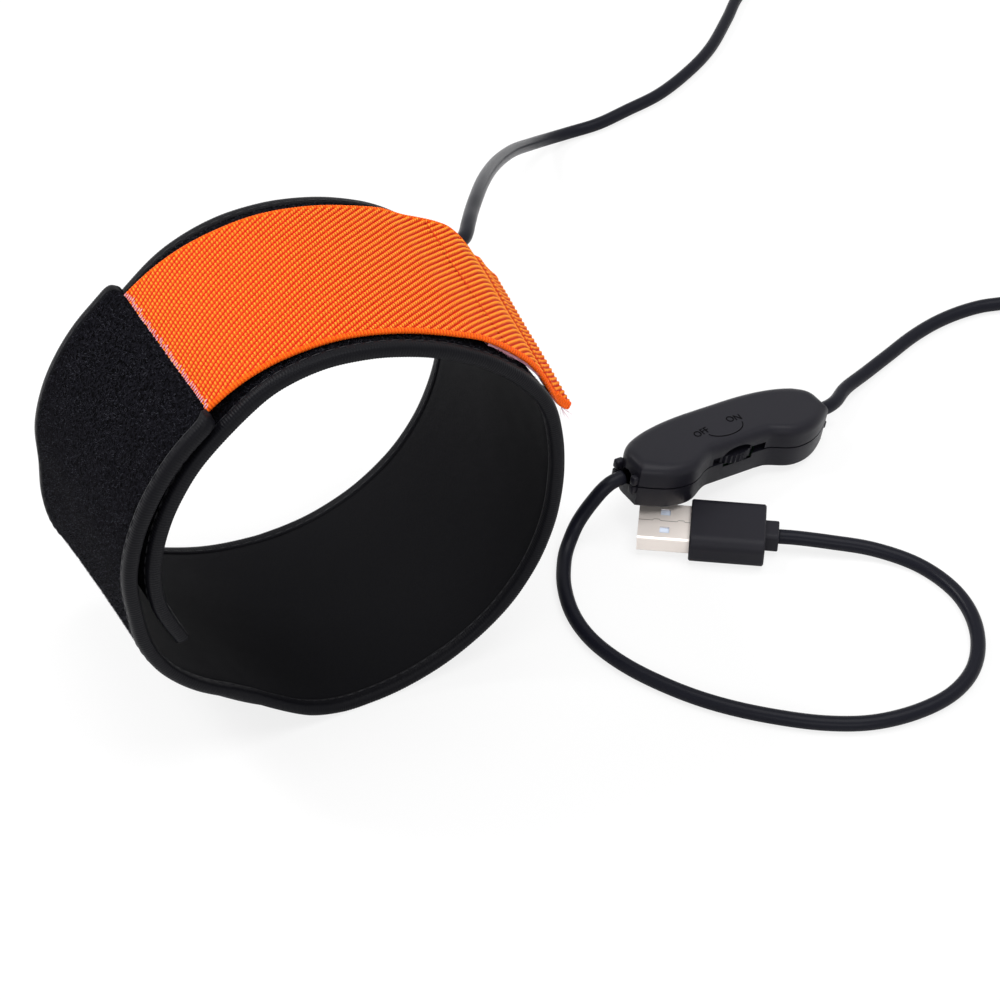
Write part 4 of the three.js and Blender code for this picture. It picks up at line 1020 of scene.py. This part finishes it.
ARC_POINTS = 40
arc_turn = np.linspace(math.radians(-165), math.radians(-5), ARC_POINTS)
arc_x = -1.2 + 5.4 * np.cos(arc_turn)
arc_y = -0.4 + 3.0 * np.sin(arc_turn)
arc_line = np.column_stack([arc_x, arc_y, np.full(ARC_POINTS, TOP)])
arc_curve = bpy.data.curves.new("legend_arc", "CURVE")
arc_curve.dimensions = "3D"
arc_curve.bevel_depth = 0.13 * MM
arc_spline = arc_curve.splines.new("POLY")
arc_spline.points.add(ARC_POINTS - 1)
arc_spline.points.foreach_set("co", np.column_stack([to_row(on_lid(arc_line)), np.ones(ARC_POINTS)]).ravel())
arc_obj = bpy.data.objects.new("legend_arc", arc_curve)
bpy.context.scene.collection.objects.link(arc_obj)
arc_curve.materials.append(legend_mat)
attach(arc_obj, BODY)


# Plug: the seam on its shell
plug_frame = Matrix.Translation((79.2, -10.4, 0)) @ Matrix.Rotation(math.radians(-32.9), 4, "Z")
plug_turn = np.array(plug_frame)[:3, :3]
plug_move = np.array(plug_frame)[:3, 3]
seam_line = np.array([(0.02, 0), (3.3, 0), (3.6, 0.45), (4.9, 0.45), (5.2, 0), (9.1, 0), (9.4, 0.45),
                      (10.7, 0.45), (11, 0), (12.3, 0)], float)
SEAM_HALF = 0.07
SEAM_Z = 6.262
side_step = np.gradient(seam_line, axis=0)
side_step = np.stack([-side_step[:, 1], side_step[:, 0]], -1)
side_step *= SEAM_HALF / np.linalg.norm(side_step, axis=1, keepdims=True)
seam_points = np.stack([np.column_stack([seam_line + s * side_step, np.full(len(seam_line), SEAM_Z)])
                        for s in (-1, 1)], 1)
plug_seam = mesh_object("plug_shell_seam", seam_points.reshape(-1, 3) @ plug_turn.T + plug_move,
                        grid_faces(len(seam_line), 2)[:, ::-1], [seam_mat], smooth=False)

for name in ("plug_grip", "cable_boot", "thumbwheel", "plug_shell"):
    smooth_up_to(nodes[name], 30)

# Cord ends and routes in metres, worked out and left unused
tuple(to_row((53.9, 35.3, 65.3)))
to_row(heater_route).tolist()
tuple(to_row((77.5, -4, 15)))
to_row(plug_route).tolist()

# Floor and light
FLOOR_GLOW = 0.8
SKY_SEEN = 1.0
SKY_LIGHT = 0.4
bpy.ops.mesh.primitive_plane_add(size=6, location=(0, 0, 0))
floor = bpy.context.object
floor.name = "floor"
floor_mat = bpy.data.materials.new("floor")
floor_mat.use_nodes = True
floor_mat.node_tree.nodes.clear()
diffuse = node(floor_mat, "ShaderNodeBsdfDiffuse", Color=(0.93, 0.93, 0.93, 1))
glow = node(floor_mat, "ShaderNodeEmission", Color=(1, 1, 1, 1), Strength=1.0)
path = node(floor_mat, "ShaderNodeLightPath")
share = node(floor_mat, "ShaderNodeMath", operation="MULTIPLY")
share.inputs[1].default_value = FLOOR_GLOW
mix = node(floor_mat, "ShaderNodeMixShader")
out = node(floor_mat, "ShaderNodeOutputMaterial")
link(floor_mat, path, "Is Camera Ray", share, 0)
link(floor_mat, share, 0, mix, 0)
link(floor_mat, diffuse, 0, mix, 1)
link(floor_mat, glow, 0, mix, 2)
link(floor_mat, mix, 0, out, 0)
floor.data.materials.append(floor_mat)

world = bpy.data.worlds.new("world")
bpy.context.scene.world = world
world.use_nodes = True
sky = world.node_tree.nodes["Background"]
sky.inputs["Color"].default_value = (1, 1, 1, 1)
ray = node(world, "ShaderNodeLightPath")
either = node(world, "ShaderNodeMath", operation="MAXIMUM")
level = node(world, "ShaderNodeMath", operation="MULTIPLY_ADD")
level.inputs[1].default_value = SKY_SEEN - SKY_LIGHT
level.inputs[2].default_value = SKY_LIGHT
link(world, ray, "Is Camera Ray", either, 0)
link(world, ray, "Is Glossy Ray", either, 1)
link(world, either, 0, level, 0)
link(world, level, 0, sky, "Strength")


def lamp(name, place, target, size, power):
    data = bpy.data.lights.new(name, "AREA")
    data.shape = "RECTANGLE"
    data.size, data.size_y = size
    data.energy = power
    obj = bpy.data.objects.new(name, data)
    bpy.context.scene.collection.objects.link(obj)
    obj.location = place
    obj.rotation_mode = "QUATERNION"
    obj.rotation_quaternion = (Vector(target) - Vector(place)).to_track_quat("-Z", "Y")


lamp("key", (-0.55, 0.6, 0.95), (0.05, 0, 0.03), (0.35, 0.35), 9)
lamp("top", (0.3, -0.1, 1.4), (0.06, 0, 0), (1.0, 1.0), 13.5)
lamp("front", (-0.3, -1.0, 0.6), (0.05, 0, 0.04), (0.8, 0.4), 4)

bpy.context.scene.view_settings.view_transform = "Standard"
